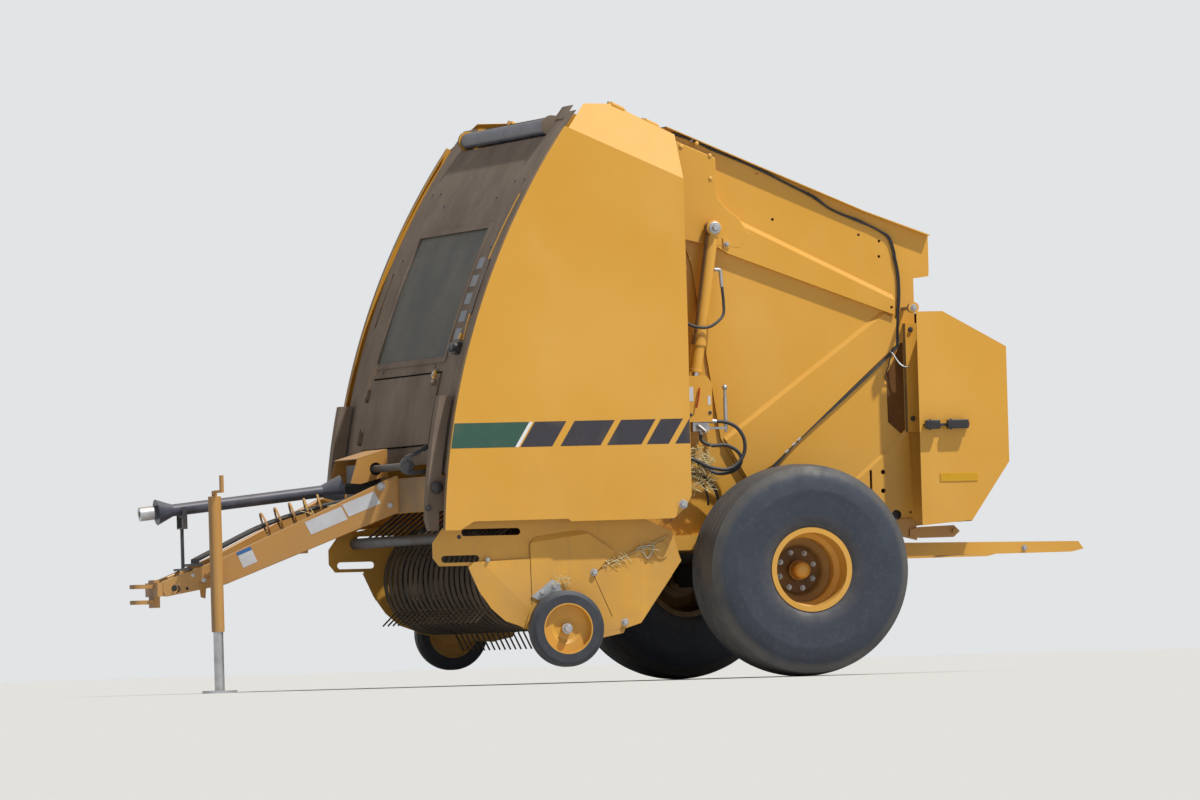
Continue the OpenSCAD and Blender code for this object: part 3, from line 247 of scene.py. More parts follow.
def smooth_path(points, count=8):
    """Vectors along a smooth curve through chosen places."""
    points = [at(*p) for p in points]
    path = []
    last = len(points) - 1
    for i in range(last):
        a, b = points[max(i - 1, 0)], points[i]
        c, d = points[i + 1], points[min(i + 2, last)]
        for k in range(count):
            u = k / count
            path.append(0.5 * (2 * b + u * (c - a) + u * u * (2 * a - 5 * b + 4 * c - d)
                               + u ** 3 * (3 * b - a - 3 * c + d)))
    path.append(points[-1])
    return path


# Bolt heads as radius and height, in shares of the head's width
WASHER = ((0, 0), (0.725, 0), (0.725, 0.1), (0.55, 0.12), (0, 0.12))
HEX_HEAD = ((0, 0.12), (0.56, 0.12), (0.56, 0.62), (0.475, 0.72), (0, 0.72))
ROUND_HEAD = ((0, 0), (0.5, 0), (0.46, 0.14), (0.31, 0.26), (0.15, 0.31), (0, 0.33))


def scaled(profile, size):
    """A profile of shares as millimetres."""
    return [(r * size, a * size) for r, a in profile]


def hex_bolt(mesh_data, place, normal, size):
    """Washer and hexagonal head with a chamfered top; size is the head's width."""
    turned(mesh_data, scaled(WASHER, size), place, normal, 20)
    turned(mesh_data, scaled(HEX_HEAD, size), place, normal, 6)


def round_bolt(mesh_data, place, normal, size):
    """Low domed head of a carriage bolt."""
    turned(mesh_data, scaled(ROUND_HEAD, size), place, normal, 20)


# Node materials

class Shader:
    """A material whose nodes are added by short calls."""

    def __init__(self, roughness=0.5, metallic=0.0, coat=0.0, specular=0.5):
        self.material = bpy.data.materials.new("finish")
        self.material.use_nodes = True
        self.tree = self.material.node_tree
        self.surface = self.tree.nodes["Principled BSDF"]
        settings = {"Roughness": roughness, "Metallic": metallic, "Coat Weight": coat,
                    "Coat Roughness": 0.25, "Specular IOR Level": specular}
        for key, value in settings.items():
            self.surface.inputs[key].default_value = value
        self.coordinates = self.node("ShaderNodeTexCoord")
        self.place = self.coordinates.outputs["Object"]

    def node(self, kind, **values):
        """A new node with some of its settings."""
        made = self.tree.nodes.new(kind)
        for key, value in values.items():
            setattr(made, key, value)
        return made

    def link(self, output, socket):
        self.tree.links.new(output, socket)

    def noise(self, scale, detail=4.0, rough=0.55, stretch=None):
        """Noise from 0 to 1; stretch scales the three axes."""
        source = self.place
        if stretch:
            mapping = self.node("ShaderNodeMapping")
            self.link(source, mapping.inputs["Vector"])
            mapping.inputs["Scale"].default_value = stretch
            source = mapping.outputs["Vector"]
        made = self.node("ShaderNodeTexNoise")
        self.link(source, made.inputs["Vector"])
        made.inputs["Scale"].default_value = scale
        made.inputs["Detail"].default_value = detail
        made.inputs["Roughness"].default_value = rough
        return made.outputs["Fac"]

    def span(self, value, low, high, to_low=0.0, to_high=1.0):
        """Maps a value from low..high to another range, clamped."""
        made = self.node("ShaderNodeMapRange")
        self.link(value, made.inputs["Value"])
        ends = {"From Min": low, "From Max": high, "To Min": to_low, "To Max": to_high}
        for key, number in ends.items():
            made.inputs[key].default_value = number
        return made.outputs["Result"]

    def math(self, kind, a, b=0.0):
        """A sum, product or the like."""
        made = self.node("ShaderNodeMath", operation=kind)
        for socket, value in zip(made.inputs, (a, b)):
            if isinstance(value, (int, float)):
                socket.default_value = value
            else:
                self.link(value, socket)
        return made.outputs["Value"]

    def part_of(self, vector, axis):
        """One of the three numbers of a vector output."""
        split = self.node("ShaderNodeSeparateXYZ")
        self.link(vector, split.inputs["Vector"])
        return split.outputs[axis]

    def height(self, low, high):
        """0 at a height of low metres, and 1 at high."""
        return self.span(self.part_of(self.place, "Z"), low, high)

    def facing_up(self):
        """1 on surfaces that face up, 0 on walls and undersides."""
        return self.span(self.part_of(self.coordinates.outputs["Normal"], "Z"), 0.35, 0.95)

    def facing_front(self):
        """1 on surfaces that face the front, 0 on side walls."""
        return self.span(self.part_of(self.coordinates.outputs["Normal"], "X"), -0.55, -0.8)

    def radius(self, centre):
        """Distance from an axis across the machine through a centre."""
        offset = self.node("ShaderNodeVectorMath", operation="SUBTRACT")
        self.link(self.place, offset.inputs[0])
        offset.inputs[1].default_value = centre
        flat = self.node("ShaderNodeVectorMath", operation="MULTIPLY")
        self.link(offset.outputs["Vector"], flat.inputs[0])
        flat.inputs[1].default_value = (1, 0, 1)
        length = self.node("ShaderNodeVectorMath", operation="LENGTH")
        self.link(flat.outputs["Vector"], length.inputs[0])
        return length.outputs["Value"]

    def mix(self, factor, a, b):
        """Colour between a and b; each is a colour or an output."""
        made = self.node("ShaderNodeMix", data_type="RGBA")
        if isinstance(factor, (int, float)):
            made.inputs[0].default_value = factor
        else:
            self.link(factor, made.inputs[0])
        for socket, value in ((made.inputs[6], a), (made.inputs[7], b)):
            if isinstance(value, tuple):
                socket.default_value = (*value, 1.0)
            else:
                self.link(value, socket)
        return made.outputs[2]

    def colour(self, output):
        self.link(output, self.surface.inputs["Base Color"])

    def roughness(self, output):
        self.link(output, self.surface.inputs["Roughness"])

    def bump(self, output, strength, distance=0.001):
        made = self.node("ShaderNodeBump")
        made.inputs["Strength"].default_value = strength
        made.inputs["Distance"].default_value = distance
        self.link(output, made.inputs["Height"])
        self.link(made.outputs["Normal"], self.surface.inputs["Normal"])


def linear(red, green, blue):
    """Colour from 0..255 screen values to the renderer's own."""
    return tuple(v / 12.92 if v <= 0.04045 else ((v + 0.055) / 1.055) ** 2.4
                 for v in (red / 255, green / 255, blue / 255))


def darker(tone, share):
    """The tone times a share of its light."""
    return tuple(v * share for v in tone)


PAINT = linear(221, 165, 66)
PAINT_DEEP = linear(215, 157, 50)
PAINT_PALE = linear(226, 180, 100)
TONGUE_PAINT = linear(194, 142, 72)
TONGUE_DEEP = linear(182, 130, 62)
RUBBED_PAINT = linear(188, 136, 66)
SHADE = linear(118, 76, 30)
HAY_DUST = linear(150, 124, 92)
# Brown of the film on faces toward the front: partly dust, partly painted shade
FRONT_DUST_SHADE = linear(122, 104, 86)
CHAFF = linear(176, 160, 128)
STRAW = linear(208, 196, 150)
SOIL = linear(92, 79, 66)
# Brown deep in the rim dish: partly dirt, partly painted shade
RIM_SOIL_SHADE = linear(96, 74, 50)
DARK_DUST = linear(128, 112, 92)
BLACK = linear(46, 46, 50)
TYRE_RUBBER = linear(54, 61, 74)
GAUGE_RUBBER = linear(54, 58, 66)
SCUFF = linear(92, 96, 104)
TREAD_DUST = linear(92, 88, 82)
BEAD_DUST = linear(118, 106, 90)

# Places of soiling and of the rim dish's painted shade, in metres: heights, distances from the middle plane,
# a depth and radii
DUST_TOP = 1.5
DUST_FULL = 0.25
SPECKS_TOP = 2.6
SPECKS_FULL = 0.5
DISH_CLEAN_LIT_Y = 1.12
DISH_DIRTY_SHADED_Y = 1.05
TREAD_DUST_DEPTH = 0.074
GAUGE_TREAD_R = 0.19
GAUGE_RIM_R = 0.1365

# Fine rings of the tyre's wall, in radians a metre
RING_WAVES = 1100.0


def paint_colour(s, low_dust, streaks=0.0, base=PAINT, deep=PAINT_DEEP, front=0.0):
    """Colour and dust of enamel, faded in patches, with hay dust low down and on ledges, and a darker brown
    film on faces toward the front that is partly dust and partly painted shade.
    """
    patches = s.span(s.noise(1.1, 3.0), 0.35, 0.68)
    body = s.mix(patches, deep, base)
    faded = s.mix(s.span(s.noise(2.3, 5.0, stretch=(1, 1, 0.5)), 0.5, 0.85, 0, 0.35), body, PAINT_PALE)
    low = s.math("MULTIPLY", s.height(DUST_TOP, DUST_FULL), s.span(s.noise(5.0, 6.0), 0.32, 0.7, 0.2, 1.0))
    dust = s.math("MULTIPLY", low, low_dust)
    ledge = s.math("MULTIPLY", s.facing_up(), s.span(s.noise(2.4, 8.0, 0.62), 0.3, 0.75, 0.2, 0.55))
    dust = s.math("MAXIMUM", dust, ledge)
    if streaks:
        runs = s.span(s.noise(26.0, 4.0, stretch=(1, 1, 0.06)), 0.45, 0.75, 0, streaks)
        dust = s.math("MAXIMUM", dust, runs)
    specks = s.span(s.noise(240.0, 2.0), 0.66, 0.8, 0, 0.5)
    dust = s.math("MAXIMUM", dust, s.math("MULTIPLY", specks, s.height(SPECKS_TOP, SPECKS_FULL)))
    colour = s.mix(dust, faded, HAY_DUST)
    # Faces toward the front get a darker brown film: partly dust, partly painted shade of faces turned from
    # the sun
    if front:
        film = s.math("MULTIPLY", s.facing_front(), s.span(s.noise(4.0, 6.0), 0.3, 0.6, front * 0.75, front))
        colour = s.mix(film, colour, FRONT_DUST_SHADE)
        dust = s.math("MAXIMUM", dust, film)
    return colour, dust


def paint_material(low_dust=0.25, streaks=0.0, base=PAINT, deep=PAINT_DEEP, front=0.9):
    """Enamel with hay dust where it would settle, and a darker film on faces toward the front that is partly
    painted shade.
    """
    s = Shader(coat=0.1)
    colour, dust = paint_colour(s, low_dust, streaks, base, deep, front)
    s.colour(colour)
    s.roughness(s.span(dust, 0.0, 0.8, 0.34, 0.85))
    s.bump(s.noise(420.0, 3.0), 0.06, 0.0005)
    return s.material


def dusty_material(pale, dark, rubbed):
    """The same enamel under a thick coat of hay dust, rubbed through in places."""
    s = Shader(specular=0.3)
    coat = s.mix(s.span(s.noise(3.0, 6.0), 0.35, 0.7), dark, pale)
    coat = s.mix(s.span(s.noise(16.0, 5.0, stretch=(1, 1, 0.25)), 0.42, 0.75, 0, 0.25), coat, SOIL)
    specks = s.span(s.noise(150.0, 3.0), 0.62, 0.78, 0, 0.5)
    coat = s.mix(specks, coat, CHAFF)
    worn = s.span(s.noise(2.1, 7.0, 0.65), 0.62, 0.72, 0, rubbed)
    s.colour(s.mix(worn, coat, RUBBED_PAINT))
    s.roughness(s.span(worn, 0, 0.75, 0.9, 0.55))
    s.bump(s.noise(60.0, 8.0, 0.7), 0.25, 0.001)
    return s.material


def rim_material():
    """Enamel of the rims, brown deep in the dish from dirt and painted shade, and clean at the flange."""
    s = Shader(coat=0.2)
    colour, dust = paint_colour(s, 0.3)
    across = s.math("ABSOLUTE", s.part_of(s.place, "Y"))
    # Deeper in the dish the colour turns brown: dirt and painted shade of the rim's own shadow
    depth = s.span(across, DISH_CLEAN_LIT_Y, DISH_DIRTY_SHADED_Y)
    dirt_and_shade = s.math("MULTIPLY", depth, s.span(s.noise(8.0, 6.0), 0.25, 0.6, 0.72, 0.95))
    s.colour(s.mix(dirt_and_shade, colour, RIM_SOIL_SHADE))
    s.roughness(s.span(s.math("MAXIMUM", dirt_and_shade, dust), 0.0, 0.8, 0.32, 0.9))
    s.bump(s.noise(300.0, 4.0), 0.08, 0.0006)
    return s.material


def steel_material(tone, roughness=0.42, metallic=0.85, dust=0.3):
    """Plated or bare steel with a film of dust."""
    s = Shader(metallic=metallic)
    body = s.mix(s.span(s.noise(14.0, 5.0), 0.35, 0.7), darker(tone, 0.72), tone)
    film = s.span(s.noise(6.0, 6.0), 0.45, 0.8, 0, dust)
    film = s.math("MAXIMUM", s.math("MULTIPLY", s.facing_up(), dust * 1.6), film)
    s.colour(s.mix(film, body, HAY_DUST))
    s.roughness(s.span(film, 0, 0.6, roughness, 0.85))
    s.bump(s.noise(300.0, 3.0), 0.08, 0.0005)
    return s.material


def dark_material(tone=BLACK, dust=0.45, roughness=0.5):
    """Satin black enamel or moulded plastic, dusty on top."""
    s = Shader()
    worn = tuple(v * 1.7 + 0.004 for v in tone)
    body = s.mix(s.span(s.noise(10.0, 5.0), 0.35, 0.7), tone, worn)
    film = s.span(s.noise(4.0, 7.0), 0.5, 0.85, 0, dust)
    film = s.math("MAXIMUM", s.math("MULTIPLY", s.facing_up(), dust), film)
    s.colour(s.mix(film, body, DARK_DUST))
    s.roughness(s.span(film, 0, 0.6, roughness, 0.9))
    s.bump(s.noise(180.0, 4.0), 0.12, 0.0006)
    return s.material


def rubber_colour(s, tone, radius, tread_from):
    """Rubber with scuffs, dust on the tread and a paler bead."""
    body = s.mix(s.span(s.noise(7.0, 6.0), 0.3, 0.72), darker(tone, 0.72), tone)
    scuffs = s.span(s.noise(38.0, 6.0, 0.7), 0.52, 0.8, 0, 0.35)
    body = s.mix(scuffs, body, SCUFF)
    patches = s.span(s.noise(9.0, 6.0), 0.3, 0.7, 0.35, 0.85)
    dusty = s.math("MULTIPLY", s.span(radius, tread_from, tread_from + 0.03), patches)
    body = s.mix(dusty, body, TREAD_DUST)
    near = s.span(s.noise(16.0, 6.0), 0.3, 0.7, 0.1, 0.5)
    bead = s.math("MULTIPLY", s.span(radius, tread_from * 0.62, tread_from * 0.42), near)
    return s.mix(bead, body, BEAD_DUST)


def tyre_material(centre):
    """Tyre rubber with fine rings on the sidewall; centre is the hub's place."""
    s = Shader(roughness=0.62, specular=0.4)
    radius = s.radius(centre)
    s.colour(rubber_colour(s, TYRE_RUBBER, radius, TYRE_R - TREAD_DUST_DEPTH))
    s.roughness(s.span(s.noise(12.0, 5.0), 0.3, 0.7, 0.5, 0.72))
    wave = s.math("SINE", s.math("MULTIPLY", radius, RING_WAVES))
    fine = s.math("ADD", s.math("MULTIPLY", wave, 0.35), s.noise(160.0, 5.0))
    s.bump(fine, 0.16, 0.0008)
    return s.material


def gauge_material(centre):
    """A gauge wheel: rubber outside the rim's radius and enamel inside it."""
    s = Shader(specular=0.45)
    radius = s.radius(centre)
    rubber = rubber_colour(s, GAUGE_RUBBER, radius, GAUGE_TREAD_R)
    enamel, dust = paint_colour(s, 0.35)
    outside = s.span(radius, GAUGE_RIM_R - 0.0002, GAUGE_RIM_R + 0.0002)
    s.colour(s.mix(outside, enamel, rubber))
    s.roughness(s.math("MAXIMUM", s.span(outside, 0, 1, 0.36, 0.62), s.span(dust, 0, 0.8, 0.3, 0.8)))
    s.bump(s.noise(200.0, 4.0), 0.1, 0.0006)
    return s.material


def belt_material():
    """Baler belting: dark rubber with a fine woven face, polished by use."""
    s = Shader(roughness=0.6)
    body = s.span(s.noise(5.0, 6.0, stretch=(1, 1, 0.2)), 0.3, 0.7)
    s.colour(s.mix(body, linear(52, 54, 48), linear(84, 84, 70)))
    weave = s.node("ShaderNodeTexBrick")
    s.link(s.place, weave.inputs["Vector"])
    weave.inputs["Scale"].default_value = 60.0
    s.bump(weave.outputs["Fac"], 0.3, 0.001)
    return s.material


def mesh_material(open_tone, dark_tone, pale_tone, scale):
    """Woven screen or net: wires over open mesh."""
    s = Shader(roughness=0.6)
    waves = []
    for direction in ("Y", "Z"):
        wave = s.node("ShaderNodeTexWave", wave_type="BANDS", bands_direction=direction)
        s.link(s.place, wave.inputs["Vector"])
        wave.inputs["Scale"].default_value = scale
        waves.append(wave.outputs["Fac"])
    grid = s.math("MAXIMUM", waves[0], waves[1])
    wire = s.mix(s.span(s.noise(2.6, 6.0), 0.35, 0.75), dark_tone, pale_tone)
    s.colour(s.mix(s.span(grid, 0.55, 0.8), open_tone, wire))
    s.bump(grid, 0.4, 0.002)
    return s.material


def plain_material(tone, roughness=0.5, dust=0.2):
    """Printed film or plastic with light soiling."""
    s = Shader(roughness=roughness)
    body = s.mix(s.span(s.noise(30.0, 4.0), 0.4, 0.7, 0, 0.25), tone, darker(tone, 0.75))
    s.colour(s.mix(s.span(s.noise(7.0, 6.0), 0.48, 0.8, 0, dust), body, HAY_DUST))
    s.bump(s.noise(500.0, 2.0), 0.03, 0.0003)
    return s.material


wheel_centres = {side: middle("tyre_" + side) for side in SIDES}
gauge_centre = middle("gauge_wheel_left")

MAT = {
    "paint": paint_material(),
    "bare_paint": paint_material(front=0.0),
    "pickup_paint": paint_material(low_dust=0.45, streaks=0.3),
    "tongue_paint": paint_material(0.5, 0.15, TONGUE_PAINT, TONGUE_DEEP, front=0.6),
    # Painted shade: enamel in the brown of its own shadow, under the dust coat, for the plate in the
    # tailgate's opening
    "shade_paint": dusty_material(SHADE, darker(SHADE, 0.7), rubbed=0.1),
    "rim_paint": rim_material(),
    "dusty_paint": dusty_material(linear(142, 126, 112), linear(116, 101, 89), rubbed=0.4),
    "crop_paint": dusty_material(linear(92, 80, 66), linear(64, 56, 48), rubbed=0.35),
    "zinc": steel_material(linear(196, 198, 202)),
    "chrome": steel_material(linear(220, 220, 222), roughness=0.16, metallic=1.0, dust=0.12),
    "reel_steel": steel_material(linear(92, 84, 74), roughness=0.55, metallic=0.6, dust=0.6),
    "dark_steel": dark_material(),
    "guard": dark_material(linear(62, 64, 76), dust=0.25, roughness=0.38),
    "black_plastic": dark_material(linear(34, 34, 37), dust=0.2, roughness=0.42),
    "hose": dark_material(linear(40, 42, 46), dust=0.3, roughness=0.55),
    "tyre": tyre_material(wheel_centres["left"]),
    "gauge_wheel": gauge_material(gauge_centre),
    "belt": belt_material(),
    # The screen's open share is near black: painted shade of the dark inside seen through it
    "screen": mesh_material(linear(22, 22, 20), linear(52, 50, 42), linear(104, 98, 78), 42.0),
    "net": mesh_material(linear(150, 156, 150), linear(214, 220, 216), linear(232, 234, 228), 30.0),
    "stripe_green": plain_material(linear(44, 84, 70)),
    "stripe_black": plain_material(linear(50, 48, 56)),
    "stripe_white": plain_material(linear(232, 233, 234), dust=0.1),
    "label": plain_material(linear(204, 206, 212), dust=0.35),
    # Labels on the front strip, darker than the others: partly dust, partly painted shade of the front
    "dull_label": plain_material(linear(122, 126, 136), dust=0.5),
    "label_blue": plain_material(linear(52, 104, 168)),
    "amber": plain_material(linear(206, 156, 12), roughness=0.25, dust=0.1),
    "red": plain_material(linear(176, 40, 30), roughness=0.35),
    "straw": plain_material(STRAW, roughness=0.75, dust=0.3),
}
for name, material in MAT.items():
    material.name = name


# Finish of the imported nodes

FINISH = {
    "pickup_paint": ["pickup_frame"],
    "crop_paint": ["stripper_bands"],
    # The tailgate's feet take the tongue's darker enamel as painted shade, since they stand in shadow
    "tongue_paint": ["tongue", "gearbox_shield", "jack_tube", "hitch_clevis", "tailgate_feet"],
    "dusty_paint": ["front_posts", "front_hood", "access_door"],
    "zinc": ["jack_leg", "valve_block", "gauge_arms", "driveline_yoke"],
    "chrome": ["cylinder_rod_left", "cylinder_rod_right"],
    "reel_steel": ["pickup_reel"],
    "guard": ["driveline", "front_rollers"],
    "dark_steel": ["axle_beam", "starter_roller", "gearbox", "driveline_stand", "chain_drive",
                   "tailgate_rollers", "lamp_arm", "windguard"],
    "hose": ["tongue_hoses", "valve_hoses", "tailgate_cable"],
    "tyre": ["tyre_left", "tyre_right"],
    "gauge_wheel": ["gauge_wheel_left", "gauge_wheel_right"],
    "belt": ["front_belts", "tailgate_belts"],
    "screen": ["window_screen"],
    "net": ["net_roll"],
    "rim_paint": ["rim_left", "rim_right"],
}
finish_of = {node: key for key, members in FINISH.items() for node in members}
for node, thing in nodes.items():
    thing.data.materials.clear()
    thing.data.materials.append(MAT[finish_of.get(node, "paint")])


# Main tyres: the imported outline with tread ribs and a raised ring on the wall

# The bead in metres out from the rim, the wall in shares of the tyre's radius, and both with their
# share of the half width
BEAD = ((-0.018, 0.862), (0.004, 0.868), (0.012, 0.9), (0.03, 0.945), (0.062, 0.972), (0.1, 0.99))
WALL = ((0.7, 0.992), (0.722, 0.997), (0.738, 1), (0.754, 0.996), (0.774, 0.986), (0.8, 0.974),
        (0.84, 0.955), (0.88, 0.922), (0.925, 0.86))
SHOULDER = 0.8
RIBS_PER_HALF = 4
GROOVE = 0.016
GROOVE_DEPTH = 0.013
CROWN_DROP = 0.028
TYRE_STEPS = 160


def tyre_profile(half_width, rim_r):
    """Half of the section, as radius and place across, from the bead to the middle of the tread."""
    bead = [(rim_r + out, half_width * share) for out, share in BEAD]
    wall = [(TYRE_R * r, half_width * share) for r, share in WALL]
    ribs = []
    pitch = half_width * SHOULDER / RIBS_PER_HALF
    for i in range(RIBS_PER_HALF, 0, -1):
        outer = i * pitch
        inner = (i - 1) * pitch
        outer_r = TYRE_R - CROWN_DROP * (outer / half_width) ** 2
        inner_r = TYRE_R - CROWN_DROP * (inner / half_width) ** 2
        ribs += [(outer_r - GROOVE_DEPTH, outer), (outer_r, outer - GROOVE / 2)]
        ribs += [(inner_r, inner + GROOVE / 2), (inner_r - GROOVE_DEPTH, inner + GROOVE / 4)]
    return bead + wall + ribs


for side in SIDES:
    low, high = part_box("tyre_" + side)
    half = tyre_profile((high.y - low.y) / 2, outer_radius("rim_" + side))
    profile = half + [(r, -a) for r, a in half[::-1]]
    data = bmesh.new()
    lathe(data, profile, wheel_centres[side], ACROSS, TYRE_STEPS)
    piece = finish_mesh("tyre_ribbed_" + side, data, MAT["tyre"], side + "_wheel", 38)
    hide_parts("tyre_" + side)


# Wheel nuts, hub caps and valve stems

HUB_Z = TYRE_R / MM
NUTS = 8
NUT_CIRCLE = 101
NUT_SIZE = 20
FIRST_NUT = 0.4
STUD = ((0, 0), (5, 0), (5, 22), (0, 23))
CAP_OUT = 94
CAP = ((0, 0), (46, 0), (44, 9), (37, 18), (24, 25), (9, 28), (0, 28))
STEM_PLACE = (-112, RIM_Y + 40, HUB_Z - 132)
STEM = ((0, 0), (7, 0), (7, 22), (5, 24), (5, 42), (0, 43))
for side, sign in SIDES.items():
    outward = ACROSS * sign
    data = bmesh.new()
    for i in range(NUTS):
        angle = 2 * math.pi * (i + FIRST_NUT) / NUTS
        place = at(NUT_CIRCLE * math.cos(angle), sign * RIM_Y, HUB_Z + NUT_CIRCLE * math.sin(angle))
        hex_bolt(data, place, outward, NUT_SIZE)
        turned(data, STUD, place, outward, 12)
    finish_mesh("wheel_nuts_" + side, data, MAT["zinc"], side + "_wheel", 40)
    data = bmesh.new()
    turned(data, CAP, at(0, sign * (RIM_Y + CAP_OUT), HUB_Z), outward, 36)
    finish_mesh("hub_cap_" + side, data, MAT["rim_paint"], side + "_wheel", 30)
    data = bmesh.new()
    x, y, z = STEM_PLACE
    turned(data, STEM, at(x, sign * y, z), outward, 14)
    finish_mesh("valve_stem_" + side, data, MAT["black_plastic"], side + "_wheel", 40)


# Bolts on faces across the machine: name, body, face y, head width, kind, finish, sides, and then
# their places as x and z

BOLTS = (
    ("arm_bolts", "tailgate", ARM_Y, 26, round_bolt, "bare_paint", BOTH,
     ((-519, 2884), (-430, 2900), (-357, 2833), (-357, 2708))),
    ("roof_bolts", "tailgate", GATE_Y, 22, round_bolt, "bare_paint", BOTH,
     ((-141, 2784), (-79, 2728), (230, 2608))),
    ("lug_bolt", "tailgate", ARM_Y + 8, 20, hex_bolt, "zinc", BOTH, ((-279, 2352),)),
    ("pin_bolt", "tailgate", PIN_Y + 6, 34, hex_bolt, "zinc", BOTH, (LIFT_PIN,)),
    ("channel_bolts", "tailgate", GATE_Y + 42, 20, hex_bolt, "dark_steel", BOTH, ((760, 1385), (760, 1870))),
    ("latch_bolt", "shield", SHIELD_Y, 34, hex_bolt, "zinc", BOTH, ((-655, 945),)),
    ("cover_bolts", "pickup", COVER_Y, 27, hex_bolt, "zinc", BOTH, ((-1142, 592), (-976, 320))),
    ("cover_bolt_small", "pickup", COVER_Y, 18, hex_bolt, "zinc", BOTH, ((-1738, 674),)),
    ("gauge_bolts", "pickup", COVER_Y + 8, 22, hex_bolt, "zinc", BOTH, ((-1440, 492), (-1372, 520))),
    ("gauge_hub_bolt", "gauge_wheel", GAUGE_Y, 40, hex_bolt, "zinc", BOTH, (GAUGE_HUB,)),
    ("post_bolt", "frame", POST_Y, 24, hex_bolt, "dark_steel", BOTH, ((-2052, 958),)),
    ("foot_bolts", "frame", FOOT_Y, 20, round_bolt, "dark_steel", BOTH, ((-425, 1440), (-535, 1430))),
    ("rail_bolts", "frame", RAIL_Y, 24, hex_bolt, "zinc", BOTH, ((-860, 740), (-420, 740), (-300, 740))),
    ("net_pin_bolt", "net_cover", NET_Y - 2, 26, hex_bolt, "zinc", BOTH, ((735, 1985),)),
    ("ramp_bolts", "frame", RAMP_Y, 22, hex_bolt, "zinc", BOTH, ((90, 622), (670, 676), (1425, 668))),
)
TWIN_BODIES = ("shield", "gauge_wheel")


def body_on(body, side):
    """Name of a body, with its side where it has a twin."""
    return f"{side}_{body}" if body in TWIN_BODIES else body


for name, body, face, size, kind, finish, sides, places in BOLTS:
    for side in sides:
        data = bmesh.new()
        for x, z in places:
            kind(data, at(x, SIDES[side] * face, z), ACROSS * SIDES[side], size)
        finish_mesh(f"{name}_{side}", data, MAT[finish], body_on(body, side), 35)


# Plates on faces across the machine: name, body, face y, depth, finish, sides, bevel, and the
# outline as x and z

PLATES = (
    # The lift arm's pressed plate runs up to the tailgate's hinge
    ("arm_plate", "tailgate", GATE_Y - 1, 36.5, "paint", BOTH, 5,
     ((-600, 2938), (-325, 2822), (-325, 2640), (-316, 2600), (-270, 2545), (-204, 2495), (-141, 2402),
      (-202, 2329), (-272, 2337), (-404, 2353), (-508, 2378), (-600, 2400))),
    # A plate in the tailgate's opening, coloured as painted shade of the deep recess behind it
    ("recess", "tailgate", GATE_Y - 10, 1.6, "shade_paint", BOTH, 0,
     ((640, 1840), (612, 1640), (614, 1350), (705, 1285), (730, 1300), (730, 1840))),
    ("lug", "tailgate", ARM_Y - 1, 9, "paint", BOTH, 2,
     ((-300, 2388), (-262, 2372), (-262, 2330), (-296, 2330))),
    ("cover_lip", "pickup", COVER_Y - 2, 9, "straw", BOTH, 1,
     ((-1097, 619), (-826, 731), (-826, 735), (-1097, 623))),
    ("rear_lip", "pickup", COVER_Y - 11, 12, "straw", BOTH, 1,
     ((-826, 731), (-722, 777), (-722, 781), (-826, 735))),
    ("cover_foot", "pickup", COVER_Y - 6, 6, "pickup_paint", BOTH, 1,
     ((-1105, 272), (-1100, 240), (-985, 262), (-972, 290))),
    ("reflector", "net_cover", NET_Y, 4, "amber", BOTH, 1.2,
     ((858, 1036), (1075, 1036), (1075, 1082), (858, 1082))),
    ("foot_label", "frame", FOOT_Y, 1, "label", LEFT, 0,
     ((-546, 1502), (-518, 1502), (-518, 1580), (-546, 1580))),
    ("foot_label_small", "frame", FOOT_Y, 1, "label", LEFT, 0,
     ((-436, 1482), (-420, 1482), (-420, 1530), (-436, 1530))),
    ("nose_plate", "frame", 176, 6, "tongue_paint", LEFT, 1.5,
     ((-3112, 600), (-3070, 594), (-3078, 512), (-3104, 520))),
)
for name, body, face, depth, finish, sides, edge, outline in PLATES:
    for side in sides:
        data = bmesh.new()
        side_plate(data, SIDES[side], face, outline, depth)
        piece = finish_mesh(f"{name}_{side}", data, MAT[finish], body_on(body, side))
        if edge:
            bevel(piece, edge)


# Washers, bumpers and end caps turned about lines across the machine: name, body, face y, finish,
# sides, place as x and z, and the profile as radius and height

TURNED = (
    ("pin_washer", "tailgate", PIN_Y, "zinc", BOTH, LIFT_PIN,
     ((0, -12), (33, -12), (33, 5), (30, 7), (0, 7))),
    ("post_bumper", "frame", POST_Y, "black_plastic", BOTH, (-2004, 1067),
     ((0, -1), (33, -1), (33, 14), (27, 26), (12, 31), (0, 31))),
    ("hub_washer", "gauge_wheel", GAUGE_Y, "zinc", BOTH, GAUGE_HUB,
     ((0, -10), (26, -10), (26, 3), (0, 3))),
    ("roll_end", "frame", WALL_Y, "dusty_paint", BOTH, (-1235, 3010),
     ((0, -1), (57, -1), (57, 3), (54, 4), (0, 4))),
    ("pin_collar", "tailgate", PIN_Y - 8, "bare_paint", BOTH, LIFT_PIN,
     ((0, 0), (42, 0), (42, 5), (38, 7), (0, 7))),
)
for name, body, face, finish, sides, spot, profile in TURNED:
    for side in sides:
        data = bmesh.new()
        turned(data, profile, at(spot[0], SIDES[side] * face, spot[1]), ACROSS * SIDES[side], 36)
        finish_mesh(f"{name}_{side}", data, MAT[finish], body_on(body, side), 30)


# Tubes, hoses, wires and fittings: name, body, finish, radius, and then the places they pass

